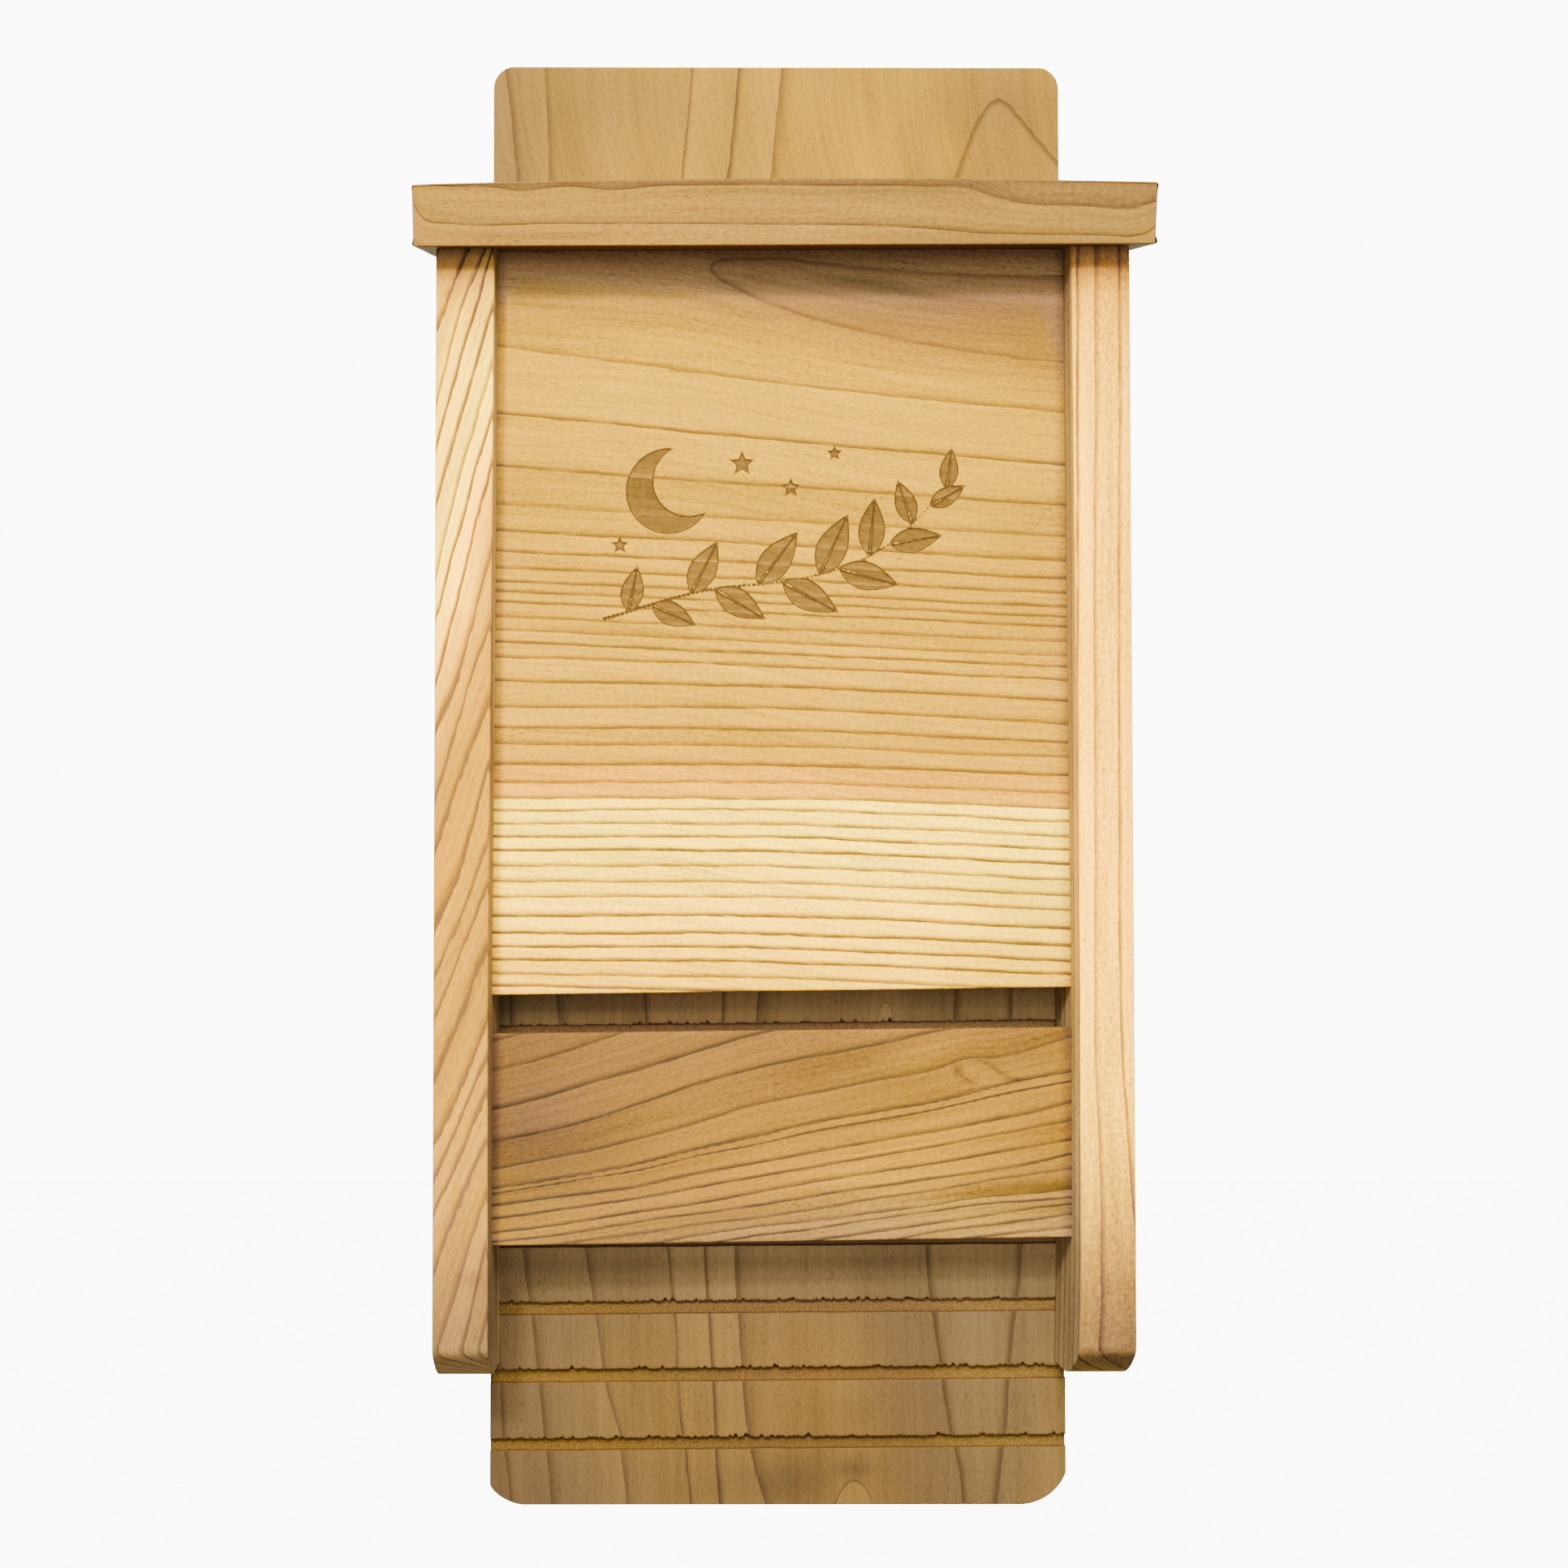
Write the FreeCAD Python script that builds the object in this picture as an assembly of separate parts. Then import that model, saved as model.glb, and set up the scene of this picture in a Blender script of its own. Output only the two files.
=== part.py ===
import FreeCAD, Part
import math
import os

from FreeCAD import Vector

# Bat box for a wall or post: a kerfed back board, two sides, two front panels and a sloping roof.
# Millimetres, +Z up, +X to the right as seen from the front, front towards -Y.
# The origin is the centre of the back board's rear face, so the wall is the plane y = 0.

# Back board, which stands clear above the roof and below the sides
back_length = 609.6
back_width = 241.3
back_thickness = 15.9
top_corner_radius = 9.0
bottom_corner_radius = 20.5
bottom_corner_reach = 17.5

# Saw kerfs across the back board's front face, for claws to grip
kerf_height = 4.6
kerf_depth = 3.2
kerf_pitch = 28.7
lowest_kerf_height = 24.4
kerf_free_below_roof = 12.0

# Side boards, let over the back board's edges by a rebate
side_thickness = 22.2
side_depth = 76.2
side_front_height = 454.5
side_bottom_above_back = 57.7
rebate_width = 4.05

# Lower front corner of each side: a long flat arc, blended into the front edge
nose_radius = 61.0
nose_reach = 38.0
nose_blend_radius = 10.0

# Front panels, set between the sides, with the vent slot between them
panel_thickness = 15.9
chamber_depth = 24.0
lower_panel_above_side = 56.3
lower_panel_height = 85.0
vent_gap = 15.9

# Roof board, square-cut in front and plumb at the wall
roof_thickness = 25.4
roof_crown = 1.8
roof_slope_degrees = 15.0
roof_front_overhang = 19.8
roof_side_overhang = 7.7
notch_clearance = 0.4

# Eased long edges of the boards
arris_radius = 0.8

# Countersunk wood screws, all of one size
screw_length = 45.0
screw_shank_diameter = 4.0
screw_head_diameter = 8.0
screw_rim_height = 0.4
screw_point_length = 6.0
screw_sink = 0.3
screw_hole_clearance = 0.1
screw_end_distance = 45.0
lower_panel_screw_inset = 20.0
roof_screw_inset = 18.0
back_screws_per_side = 4
upper_panel_screws_per_side = 3
lower_panel_screws_per_side = 2

# Places worked out from the sizes above
slope = math.radians(roof_slope_degrees)
back_bottom = -back_length / 2
back_top = back_length / 2
side_bottom = back_bottom + side_bottom_above_back
side_front_top = side_bottom + side_front_height
inner_half = back_width / 2 - rebate_width
outer_half = inner_half + side_thickness
chamber_front = -(back_thickness + chamber_depth)
panel_front = chamber_front - panel_thickness
lower_panel_bottom = side_bottom + lower_panel_above_side
lower_panel_top = lower_panel_bottom + lower_panel_height
upper_panel_bottom = lower_panel_top + vent_gap
roof_half = outer_half + roof_side_overhang
roof_front = -(side_depth + roof_front_overhang)
tolerance = 1e-4
cut_margin = 2.0


def roof_underside(y):
    """Height of the roof's underside, a plane that rises towards the wall."""
    return side_front_top + (y + side_depth) * math.tan(slope)


def extrude_outline(edges, direction):
    return Part.Face(Part.Wire(edges)).extrude(direction)


def line(start, end):
    return Part.LineSegment(start, end).toShape()


def arc(start, middle, end):
    return Part.Arc(start, middle, end).toShape()


def edges_where(shape, test):
    return [edge for edge in shape.Edges if all(test(vertex.Point) for vertex in edge.Vertexes)]


def box_between(low, high):
    size = high - low
    return Part.makeBox(size.x, size.y, size.z, low)


def back_outline():
    """Board outline: quarter arcs at the top, flatter arcs that meet the edges at an angle below."""
    half = back_width / 2
    corner = top_corner_radius
    diagonal = corner * (1 - math.sqrt(0.5))
    turn = math.asin(bottom_corner_reach / bottom_corner_radius)
    rise = bottom_corner_radius * (1 - math.cos(turn))
    arc_start = half - bottom_corner_reach
    middle_x = arc_start + bottom_corner_radius * math.sin(turn / 2)
    middle_z = back_bottom + bottom_corner_radius * (1 - math.cos(turn / 2))

    top_left = Vector(-half + corner, 0, back_top)
    top_right = Vector(half - corner, 0, back_top)
    right_high = Vector(half, 0, back_top - corner)
    right_low = Vector(half, 0, back_bottom + rise)
    bottom_right = Vector(arc_start, 0, back_bottom)
    bottom_left = Vector(-arc_start, 0, back_bottom)
    left_low = Vector(-half, 0, back_bottom + rise)
    left_high = Vector(-half, 0, back_top - corner)
    return [
        line(top_left, top_right),
        arc(top_right, Vector(half - diagonal, 0, back_top - diagonal), right_high),
        line(right_high, right_low),
        arc(right_low, Vector(middle_x, 0, middle_z), bottom_right),
        line(bottom_right, bottom_left),
        arc(bottom_left, Vector(-middle_x, 0, middle_z), left_low),
        line(left_low, left_high),
        arc(left_high, Vector(-half + diagonal, 0, back_top - diagonal), top_left),
    ]


def kerf_bottoms():
    """Lower edges of the kerfs, from the landing strip up to just under the roof."""
    first = back_bottom + lowest_kerf_height
    last = roof_underside(-back_thickness) - kerf_free_below_roof - kerf_height
    count = int((last - first) // kerf_pitch) + 1
    return [first + kerf_pitch * index for index in range(count)]


def make_back_board():
    board = extrude_outline(back_outline(), Vector(0, -back_thickness, 0))
    rims = edges_where(board, lambda p: abs(p.y) < tolerance)
    rims += edges_where(board, lambda p: abs(p.y + back_thickness) < tolerance)
    board = board.makeFillet(arris_radius, rims)
    reach = back_width / 2 + cut_margin
    for bottom in kerf_bottoms():
        low = Vector(-reach, -back_thickness - cut_margin, bottom)
        high = Vector(reach, -back_thickness + kerf_depth, bottom + kerf_height)
        board = board.cut(box_between(low, high))
    return board


def side_outline(x):
    """Side profile: sloped top, square back and the long arc of the lower front corner."""
    turn = math.asin(nose_reach / nose_radius)
    rise = nose_radius * (1 - math.cos(turn))
    middle_y = -side_depth + nose_reach - nose_radius * math.sin(turn / 2)
    middle_z = side_bottom + nose_radius * (1 - math.cos(turn / 2))

    rear_bottom = Vector(x, 0, side_bottom)
    arc_start = Vector(x, -side_depth + nose_reach, side_bottom)
    arc_end = Vector(x, -side_depth, side_bottom + rise)
    front_top = Vector(x, -side_depth, side_front_top)
    rear_top = Vector(x, 0, roof_underside(0))
    return [
        line(rear_bottom, arc_start),
        arc(arc_start, Vector(x, middle_y, middle_z), arc_end),
        line(arc_end, front_top),
        line(front_top, rear_top),
        line(rear_top, rear_bottom),
    ]


def make_side_board(side):
    """side is -1 for the left board and +1 for the right one."""
    inner = side * inner_half
    outer = side * outer_half
    board = extrude_outline(side_outline(inner), Vector(outer - inner, 0, 0))

    nose_rise = nose_radius - math.sqrt(nose_radius**2 - nose_reach**2)
    knee = side_bottom + nose_rise
    knee_point = Vector(0, -side_depth, knee)
    knee_edges = edges_where(board, lambda p: Vector(0, p.y, p.z).distanceToPoint(knee_point) < tolerance)
    board = board.makeFillet(nose_blend_radius, knee_edges)

    def seats(edge):
        on_wall = all(abs(v.Point.y) < tolerance for v in edge.Vertexes)
        on_roof = all(abs(v.Point.z - roof_underside(v.Point.y)) < tolerance for v in edge.Vertexes)
        return on_wall or on_roof

    rims = edges_where(board, lambda p: abs(p.x - inner) < tolerance)
    rims += edges_where(board, lambda p: abs(p.x - outer) < tolerance)
    board = board.makeFillet(arris_radius, [edge for edge in rims if not seats(edge)])

    rebate_end = side * back_width / 2
    low = Vector(min(inner - side * cut_margin, rebate_end), -back_thickness, side_bottom - cut_margin)
    high = Vector(max(inner - side * cut_margin, rebate_end), cut_margin, back_top)
    return board.cut(box_between(low, high))


def make_panel(bottom, top_rear, top_front):
    """A panel across the whole clear width, with its long free edges eased."""
    x = -inner_half
    corners = [
        Vector(x, chamber_front, bottom),
        Vector(x, panel_front, bottom),
        Vector(x, panel_front, top_front),
        Vector(x, chamber_front, top_rear),
    ]
    sides = [line(corners[index], corners[(index + 1) % len(corners)]) for index in range(len(corners))]
    return extrude_outline(sides, Vector(2 * inner_half, 0, 0))


def ease_across(board, heights):
    """Ease the long edges that run from side to side at the given heights."""
    rims = []
    for height in heights:
        rims += [
            edge
            for edge in edges_where(board, lambda p: abs(p.z - height) < tolerance)
            if abs(edge.Vertexes[0].X - edge.Vertexes[-1].X) > inner_half
        ]
    return board.makeFillet(arris_radius, rims)


def make_upper_front_panel():
    panel = make_panel(upper_panel_bottom, roof_underside(chamber_front), roof_underside(panel_front))
    return ease_across(panel, [upper_panel_bottom])


def make_lower_front_panel():
    panel = make_panel(lower_panel_bottom, lower_panel_top, lower_panel_top)
    return ease_across(panel, [lower_panel_bottom, lower_panel_top])


def crown_at(x):
    """How far the crowned top lies below the mid-width thickness, on a circle through both ends."""
    radius = (roof_half**2 + roof_crown**2) / (2 * roof_crown)
    return radius - math.sqrt(radius**2 - x**2)


def make_roof_board():
    """The section across the roof is swept down the slope, then cut plumb at the wall."""
    down_slope = Vector(0, -math.cos(slope), -math.sin(slope))
    out_of_roof = Vector(0, -math.sin(slope), math.cos(slope))
    front_under_y = roof_front + roof_thickness * math.sin(slope)
    front_under = Vector(0, front_under_y, roof_underside(front_under_y))
    past_wall = front_under - down_slope * ((-front_under_y + 3 * roof_thickness) / math.cos(slope))

    edge_height = roof_thickness - roof_crown
    low_left = past_wall + Vector(-roof_half, 0, 0)
    low_right = past_wall + Vector(roof_half, 0, 0)
    high_left = low_left + out_of_roof * edge_height
    high_right = low_right + out_of_roof * edge_height
    crown = past_wall + out_of_roof * roof_thickness
    section = [
        line(low_left, low_right),
        line(low_right, high_right),
        arc(high_right, crown, high_left),
        line(high_left, low_left),
    ]
    length = (front_under - past_wall).Length
    board = extrude_outline(section, down_slope * length)

    front_face_edges = [
        edge
        for edge in board.Edges
        if all(abs((v.Point - front_under).dot(down_slope)) < tolerance for v in edge.Vertexes)
    ]
    end_edges = [
        edge
        for edge in board.Edges
        if abs((edge.Vertexes[0].Point - edge.Vertexes[-1].Point).Length - length) < tolerance
    ]
    board = board.makeFillet(arris_radius, front_face_edges + end_edges)

    reach = roof_half + cut_margin
    behind_wall = box_between(Vector(-reach, 0, back_bottom), Vector(reach, back_length, back_length))
    notch_half = back_width / 2 + notch_clearance
    notch_low = Vector(-notch_half, -back_thickness, back_bottom)
    notch = box_between(notch_low, Vector(notch_half, cut_margin, back_length))
    return board.cut(behind_wall).cut(notch)


def turned(profile, head, direction):
    """Turn a (radius, depth) profile about the axis that runs from the head into the wood."""
    points = [Vector(radius, 0, depth) for radius, depth in profile]
    edges = [line(points[index], points[(index + 1) % len(points)]) for index in range(len(points))]
    solid = Part.Face(Part.Wire(edges)).revolve(Vector(0, 0, 0), Vector(0, 0, 1), 360)
    solid.Placement = FreeCAD.Placement(head, FreeCAD.Rotation(Vector(0, 0, 1), direction))
    return solid


def make_screw(head, direction):
    head_radius = screw_head_diameter / 2
    shank_radius = screw_shank_diameter / 2
    neck = screw_rim_height + head_radius - shank_radius
    profile = [
        (0, 0),
        (head_radius, 0),
        (head_radius, screw_rim_height),
        (shank_radius, neck),
        (shank_radius, screw_length - screw_point_length),
        (0, screw_length),
    ]
    return turned(profile, head, direction)


def make_screw_hole(head, direction):
    """The countersink seats the head's cone, and everything else clears the screw all round."""
    clear = screw_hole_clearance
    head_radius = screw_head_diameter / 2 + clear
    shank_radius = screw_shank_diameter / 2 + clear
    rim = screw_rim_height - clear
    neck = rim + head_radius - shank_radius
    profile = [
        (0, -cut_margin),
        (head_radius, -cut_margin),
        (head_radius, rim),
        (shank_radius, neck),
        (shank_radius, screw_length + clear),
        (0, screw_length + clear),
    ]
    return turned(profile, head, direction)


def spread(first, last, count):
    """Evenly spaced values from first to last."""
    return [first + (last - first) * index / (count - 1) for index in range(count)]


def side_screw_places(side, y, first, last, count):
    """Heads on a side board's outer face, pointing inwards."""
    head_x = side * (outer_half - screw_sink)
    return [(Vector(head_x, y, z), Vector(-side, 0, 0)) for z in spread(first, last, count)]


def back_screw_places(side):
    first = side_bottom + screw_end_distance
    last = roof_underside(-back_thickness / 2) - screw_end_distance
    return side_screw_places(side, -back_thickness / 2, first, last, back_screws_per_side)


def upper_panel_screw_places(side):
    middle = (panel_front + chamber_front) / 2
    first = upper_panel_bottom + screw_end_distance
    last = roof_underside(middle) - screw_end_distance
    return side_screw_places(side, middle, first, last, upper_panel_screws_per_side)


def lower_panel_screw_places(side):
    middle = (panel_front + chamber_front) / 2
    first = lower_panel_bottom + lower_panel_screw_inset
    last = lower_panel_top - lower_panel_screw_inset
    return side_screw_places(side, middle, first, last, lower_panel_screws_per_side)


def roof_screw_places(side):
    """Heads in the roof's top over the middle of a side board, square to the slope."""
    x = side * (inner_half + outer_half) / 2
    into_roof = Vector(0, math.sin(slope), -math.cos(slope))
    head_height = roof_thickness - crown_at(x) - screw_sink
    places = []
    for y in (-side_depth + roof_screw_inset, -roof_screw_inset):
        on_underside = Vector(x, y, roof_underside(y))
        places.append((on_underside - into_roof * head_height, into_roof))
    return places


def cut_screw_holes(board, places):
    for head, direction in places:
        board = board.cut(make_screw_hole(head, direction))
    return board


def screw_group(places):
    return Part.makeCompound([make_screw(head, direction) for head, direction in places])


def build():
    nodes = {
        "back_board": make_back_board(),
        "upper_front_panel": make_upper_front_panel(),
        "lower_front_panel": make_lower_front_panel(),
        "roof_board": make_roof_board(),
    }
    for side, name in ((-1, "left"), (1, "right")):
        places = {
            "back_board": ("_back_screws", back_screw_places(side)),
            "upper_front_panel": ("_upper_panel_screws", upper_panel_screw_places(side)),
            "lower_front_panel": ("_lower_panel_screws", lower_panel_screw_places(side)),
            "roof_board": ("_roof_screws", roof_screw_places(side)),
        }
        side_board = make_side_board(side)
        for held, (screws, heads) in places.items():
            nodes[held] = cut_screw_holes(nodes[held], heads)
            side_board = cut_screw_holes(side_board, heads)
            nodes[name + screws] = screw_group(heads)
        nodes[name + "_side_board"] = side_board
    return nodes


def main():
    os.makedirs("parts", exist_ok=True)
    for name, shape in build().items():
        shape.exportStep("parts/" + name + ".step")
        print(name, len(shape.Solids), "solids", round(shape.Volume), "cubic mm", "valid", shape.isValid())


main()
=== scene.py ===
import math

import bmesh
import bpy
import numpy as np
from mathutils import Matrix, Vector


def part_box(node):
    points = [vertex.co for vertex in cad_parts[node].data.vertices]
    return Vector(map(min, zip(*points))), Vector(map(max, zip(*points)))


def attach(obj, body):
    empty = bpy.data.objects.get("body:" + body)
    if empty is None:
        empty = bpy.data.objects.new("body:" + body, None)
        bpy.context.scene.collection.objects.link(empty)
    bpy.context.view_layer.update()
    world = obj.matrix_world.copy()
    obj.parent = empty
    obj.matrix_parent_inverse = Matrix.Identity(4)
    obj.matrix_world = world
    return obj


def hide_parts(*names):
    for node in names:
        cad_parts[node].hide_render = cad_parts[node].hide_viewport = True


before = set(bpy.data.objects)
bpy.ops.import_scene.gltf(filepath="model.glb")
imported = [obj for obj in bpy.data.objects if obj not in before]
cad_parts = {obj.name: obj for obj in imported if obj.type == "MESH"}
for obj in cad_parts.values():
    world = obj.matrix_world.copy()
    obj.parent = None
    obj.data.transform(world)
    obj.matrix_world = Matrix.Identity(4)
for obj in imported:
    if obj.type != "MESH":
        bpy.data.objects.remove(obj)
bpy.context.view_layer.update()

scene = bpy.context.scene
mm = 0.001  # the pieces' tables are in millimetres, in the CAD frame; camera, floor and lamps in metres


def nodeBox(node):
    # lowest and highest corner of a CAD node
    low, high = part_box(node)
    return np.array(low) / mm, np.array(high) / mm


# camera at the photograph's eye: slightly left of the middle, a little below the box's centre
camera = {"place": (-0.04295, -0.99588, -0.08929), "pitch": 1.973, "yaw": -0.261,
          "lens": 53.35, "sensor": 36.0, "shiftX": 0.0624, "shiftY": 0.08}


def placeCamera(plan):
    optics = bpy.data.cameras.new("photoCamera")
    optics.lens = plan["lens"]
    optics.sensor_width = plan["sensor"]
    optics.shift_x = plan["shiftX"]
    optics.shift_y = plan["shiftY"]
    eye = bpy.data.objects.new("photoCamera", optics)
    eye.location = plan["place"]
    eye.rotation_euler = (math.radians(90 + plan["pitch"]), 0, math.radians(plan["yaw"]))
    scene.collection.objects.link(eye)
    scene.camera = eye


placeCamera(camera)
print("camera placed")


# small helpers for curves and spacings

def throughPoints(stations, values, at):
    # cubic through the points with the slope of its neighbours, straight on beyond the ends
    stations = np.asarray(stations, float)
    values = np.asarray(values, float)
    slopes = np.gradient(values, stations)
    inside = np.clip(at, stations[0], stations[-1])
    i = np.clip(np.searchsorted(stations, inside) - 1, 0, len(stations) - 2)
    width = stations[i + 1] - stations[i]
    t = (inside - stations[i]) / width
    curve = ((2 * t**3 - 3 * t**2 + 1) * values[i] + (t**3 - 2 * t**2 + t) * width * slopes[i]
             + (3 * t**2 - 2 * t**3) * values[i + 1] + (t**3 - t**2) * width * slopes[i + 1])
    beyond = np.minimum(at - stations[0], 0) * slopes[0] + np.maximum(at - stations[-1], 0) * slopes[-1]
    return curve + beyond


def spaced(low, high, step, dense=()):
    # values one step apart, closer together in each (start, end, step) of dense
    values = np.linspace(low, high, max(2, int(math.ceil((high - low) / step)) + 1))
    for start, end, closer in dense:
        start, end = max(start, low), min(end, high)
        values = values[(values < start - 0.3 * step) | (values > end + 0.3 * step)]
        values = np.append(values, np.linspace(start, end, int(math.ceil((end - start) / closer)) + 1))
    return np.unique(np.append(values, [low, high]).round(4))


def ripple(count, seed, smooth):
    # random line of the given length, smoothed over a few neighbours, about -1 to 1
    raw = np.random.default_rng(seed).normal(size=count + 8 * smooth)
    kernel = np.hanning(2 * smooth + 3)
    line = np.convolve(raw, kernel / np.sqrt((kernel**2).sum()), mode="same")
    return line[4 * smooth:4 * smooth + count] / 2


def easing(fromEdge, radius):
    # how far a rounded arris has fallen back at this distance from the edge: a quarter circle
    t = np.clip(fromEdge / radius, 0, 1)
    return radius * (1 - np.sqrt(np.clip(1 - (1 - t)**2, 0, 1)))


def arrisSteps(radius, count=4):
    # distances from the edge that follow a quarter round
    return radius * (1 - np.cos(np.linspace(0, math.pi / 2, count + 1)))


def gathered(rows, count):
    # the first, second and further values of all rows, one array each with the rows side by side
    return (np.array([entry[i] for entry in rows]).T for i in range(count))


def paintedShadeAlong(at, table):
    # painted shade and tone along a board, as colour factors from (place, red, green, blue) rows
    table = np.array(table, float)
    return np.stack([np.interp(at, table[:, 0], table[:, i]) for i in (1, 2, 3)], -1)


def shadeAndTonePatches(paintedShadeAndTone, a, b, shadeAndToneSpots):
    # soft patches of painted shade and light, and of the wood's own tone: place, reach and colour factors of
    # each, and how far it leans
    for placeA, placeB, reachA, reachB, factors, *lean in shadeAndToneSpots:
        off = b - placeB - sum(lean) * (a - placeA)
        near = np.exp(-((a - placeA) / reachA)**2 - (off / reachB)**2)
        paintedShadeAndTone = paintedShadeAndTone * (1 + near[..., None] * (np.array(factors) - 1))
    return paintedShadeAndTone


def snapped(distance, a, b, cell):
    # points within half a cell of an outline move onto it; distance is negative inside
    h = 0.02
    for _ in range(2):
        d = distance(a, b)
        slopeA = (distance(a + h, b) - distance(a - h, b)) / (2 * h)
        slopeB = (distance(a, b + h) - distance(a, b - h)) / (2 * h)
        near = np.abs(d) < 0.55 * cell
        a = np.where(near, a - d * slopeA, a)
        b = np.where(near, b - d * slopeB, b)
    d = distance(a, b)
    return a, b, np.where(np.abs(d) < 0.12 * cell, 0.0, d)


# growth rings: each board has a table of ring lines, as places across it at a few stations along it

def lineAt(plan, row, along):
    # place across of a line that is given at the board's stations, or by its own (along, across) pairs
    pairs = np.array(row) if np.ndim(row) == 2 else np.column_stack([plan["stations"], row])
    return throughPoints(pairs[:, 0], pairs[:, 1], along)


def ringField(along, across, plan):
    # ring number, ring spacing and place across without the drift, linear between one line and the next
    lines = np.array([lineAt(plan, row, along) for row in plan["rings"]])
    middle = np.array([lineAt(plan, row, np.array([plan.get("rest", 0.0)])) for row in plan["rings"]])
    drift = lines - middle
    widths = np.abs(np.diff(lines, axis=0))
    spacing = np.vstack([widths[:1], (widths[1:] + widths[:-1]) / 2, widths[-1:]])
    steps = (across - lines[:-1]) / (lines[1:] - lines[:-1])
    share = np.clip(steps, 0, 1)
    number = share.sum(0) + np.minimum(steps[0], 0) + np.maximum(steps[-1] - 1, 0)
    gap = spacing[0] + (share * np.diff(spacing, axis=0)).sum(0)
    aside = drift[0] + (share * np.diff(drift, axis=0)).sum(0)
    return number, gap, across - aside


def grainOf(points, normals, plan):
    # ring number, ring gap and fibre coordinates of a board's vertices. "axes" says which coordinates run
    # along, across and into the board, "tilt" how far the rings lean as they go in, "rest" where along
    # the board the lines have no drift, and "slant" is about the cosine of the angle of steep lines.
    # At a fold the place across turns back on a hyperbola of the given roundness
    along, across, depth = (points[:, i] * sign for i, sign in plan["axes"])
    depth = depth - plan["face"]
    across = across + plan["tilt"] * depth
    unfolded = across
    if "fold" in plan:
        centre = lineAt(plan, plan["fold"], along)
        across = centre - np.sqrt((across - centre)**2 + plan["roundness"]**2)
    number, gap, true = ringField(along, across, plan)
    if "fold" in plan:  # the fibres run on straight through the fold of the rings
        true = unfolded - (centre - centre.mean())
    height = points[:, plan["axes"][1][0]]
    for place, middle, reachAlong, reachAcross, amount in plan.get("swells", ()):
        spread = ((along - place) / reachAlong)**2 + ((height - middle) / reachAcross)**2
        number = number + amount * np.exp(-spread)
    slant = plan.get("slant", 1.0)
    fibres = np.column_stack([along / slant, true * slant, depth])
    if "sideFibres" in plan:  # on the inner and outer face the fibres run upwards
        flank = np.abs(normals[:, 0]) > 0.6
        leaning = points[:, 1] + plan["sideFibres"] * points[:, 2]
        fibres[flank] = np.column_stack([points[:, 2], leaning, points[:, 0]])[flank]
    return number, gap * slant, fibres


# meshes: a closed section carried through a row of places

def vertexValues(mesh, field):
    values = np.empty(len(mesh.vertices) * 3, np.float32)
    mesh.vertices.foreach_get(field, values)
    return values.reshape(-1, 3)


def writeValues(mesh, values):
    # attributes with one number or one vector for each vertex
    for label, data in values.items():
        kind, field = ("FLOAT_VECTOR", "vector") if np.ndim(data) == 2 else ("FLOAT", "value")
        layer = mesh.attributes.new(label, kind, "POINT")
        layer.data.foreach_set(field, np.asarray(data, np.float32).ravel())


def sweptMesh(name, sections, closed):
    # four-sided faces between each section and the next, with a face across both ends where closed;
    # all are turned round where the volume they enclose comes out negative
    columns, count = sections.shape[:2]
    index = np.arange(columns * count).reshape(columns, count)
    here, there = index[:-1], index[1:]
    quads = np.stack([here, np.roll(here, -1, 1), np.roll(there, -1, 1), there], -1).reshape(-1, 4)
    points = sections.reshape(-1, 3)
    a, b, c, d = (points[quads[:, i]] for i in range(4))
    volume = (np.einsum("ij,ij->i", a, np.cross(b, c)) + np.einsum("ij,ij->i", a, np.cross(c, d))).sum()
    faces = quads.tolist()
    if closed:
        faces += [index[0][::-1].tolist(), index[-1].tolist()]
    if volume < 0:
        faces = [face[::-1] for face in faces]
    mesh = bpy.data.meshes.new(name)
    mesh.from_pydata((points * mm).tolist(), [], faces)
    mesh.update()
    return mesh


def shadeSmooth(mesh, sharpest):
    # smooth over all edges but those sharper than this many degrees
    mesh.polygons.foreach_set("use_smooth", [True] * len(mesh.polygons))
    mesh.set_sharp_from_angle(angle=math.radians(sharpest))


def finishPiece(name, mesh, node):
    piece = bpy.data.objects.new(name, mesh)
    scene.collection.objects.link(piece)
    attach(piece, "root")
    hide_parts(node)
    return piece


boardEdge = 32  # degrees, past which a board's edge stays sharp


def endGrainOf(lengthwise):
    # 1 where the surface faces along the board, 0 on its faces, from that part of the normal
    return np.clip((np.abs(lengthwise) - 0.45) / 0.4, 0, 1)


def makeBoard(name, sections, node, values, grain, endAxis):
    # a board from its sections, with its grain worked out for every vertex
    mesh = sweptMesh(name, sections, True)
    normals = vertexValues(mesh, "normal")
    values["ring"], values["gap"], values["fibre"] = grainOf(sections.reshape(-1, 3), normals, grain)
    values["endGrain"] = endGrainOf(normals[:, endAxis])
    writeValues(mesh, values)
    shadeSmooth(mesh, boardEdge)
    print(name, "made from", sections.shape[0], "sections of", sections.shape[1], "points")
    return finishPiece(name, mesh, node)


roofSlope = math.radians(15)

# how far the built boards stray from the drawing, as the photograph shows
strays = {
    "roofLean": 0.0052,
    # rise over run of the panels' edges
    "upperSkew": 0.0137, "lowerSkewTop": 0.0112, "lowerSkewBottom": 0.0146,
    "leftFoot": 1.2, "rightFoot": 2.0,  # how much shorter the sides are
    # how far the inner faces lean inwards, as (height, left, right); the panels follow the left one
    "lean": ((-250, -0.3, 1.0), (-200, -0.35, -0.35), (-90, -0.5, -0.5), (200, 1.2, 1.2)),
    "kerfSkew": 0.0079, "kerfDrop": 0.3, "kerfTilt": {6: 0.003},
    # upper and lower edge of the kerfs that are seen, against their even places
    "kerfShift": {0: (-0.3, -0.7), 1: (-0.15, -1.1), 2: (-0.8, -1.55), 3: (-0.5, -2.1), 6: (0.6, 0.6)},
}


def innerLean(z, side=-1):
    # the sides stand about a millimetre closer together at the top than at the vent
    heights, left, right = np.array(strays["lean"]).T
    return np.interp(z, heights, right if side > 0 else left)


# back board

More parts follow.
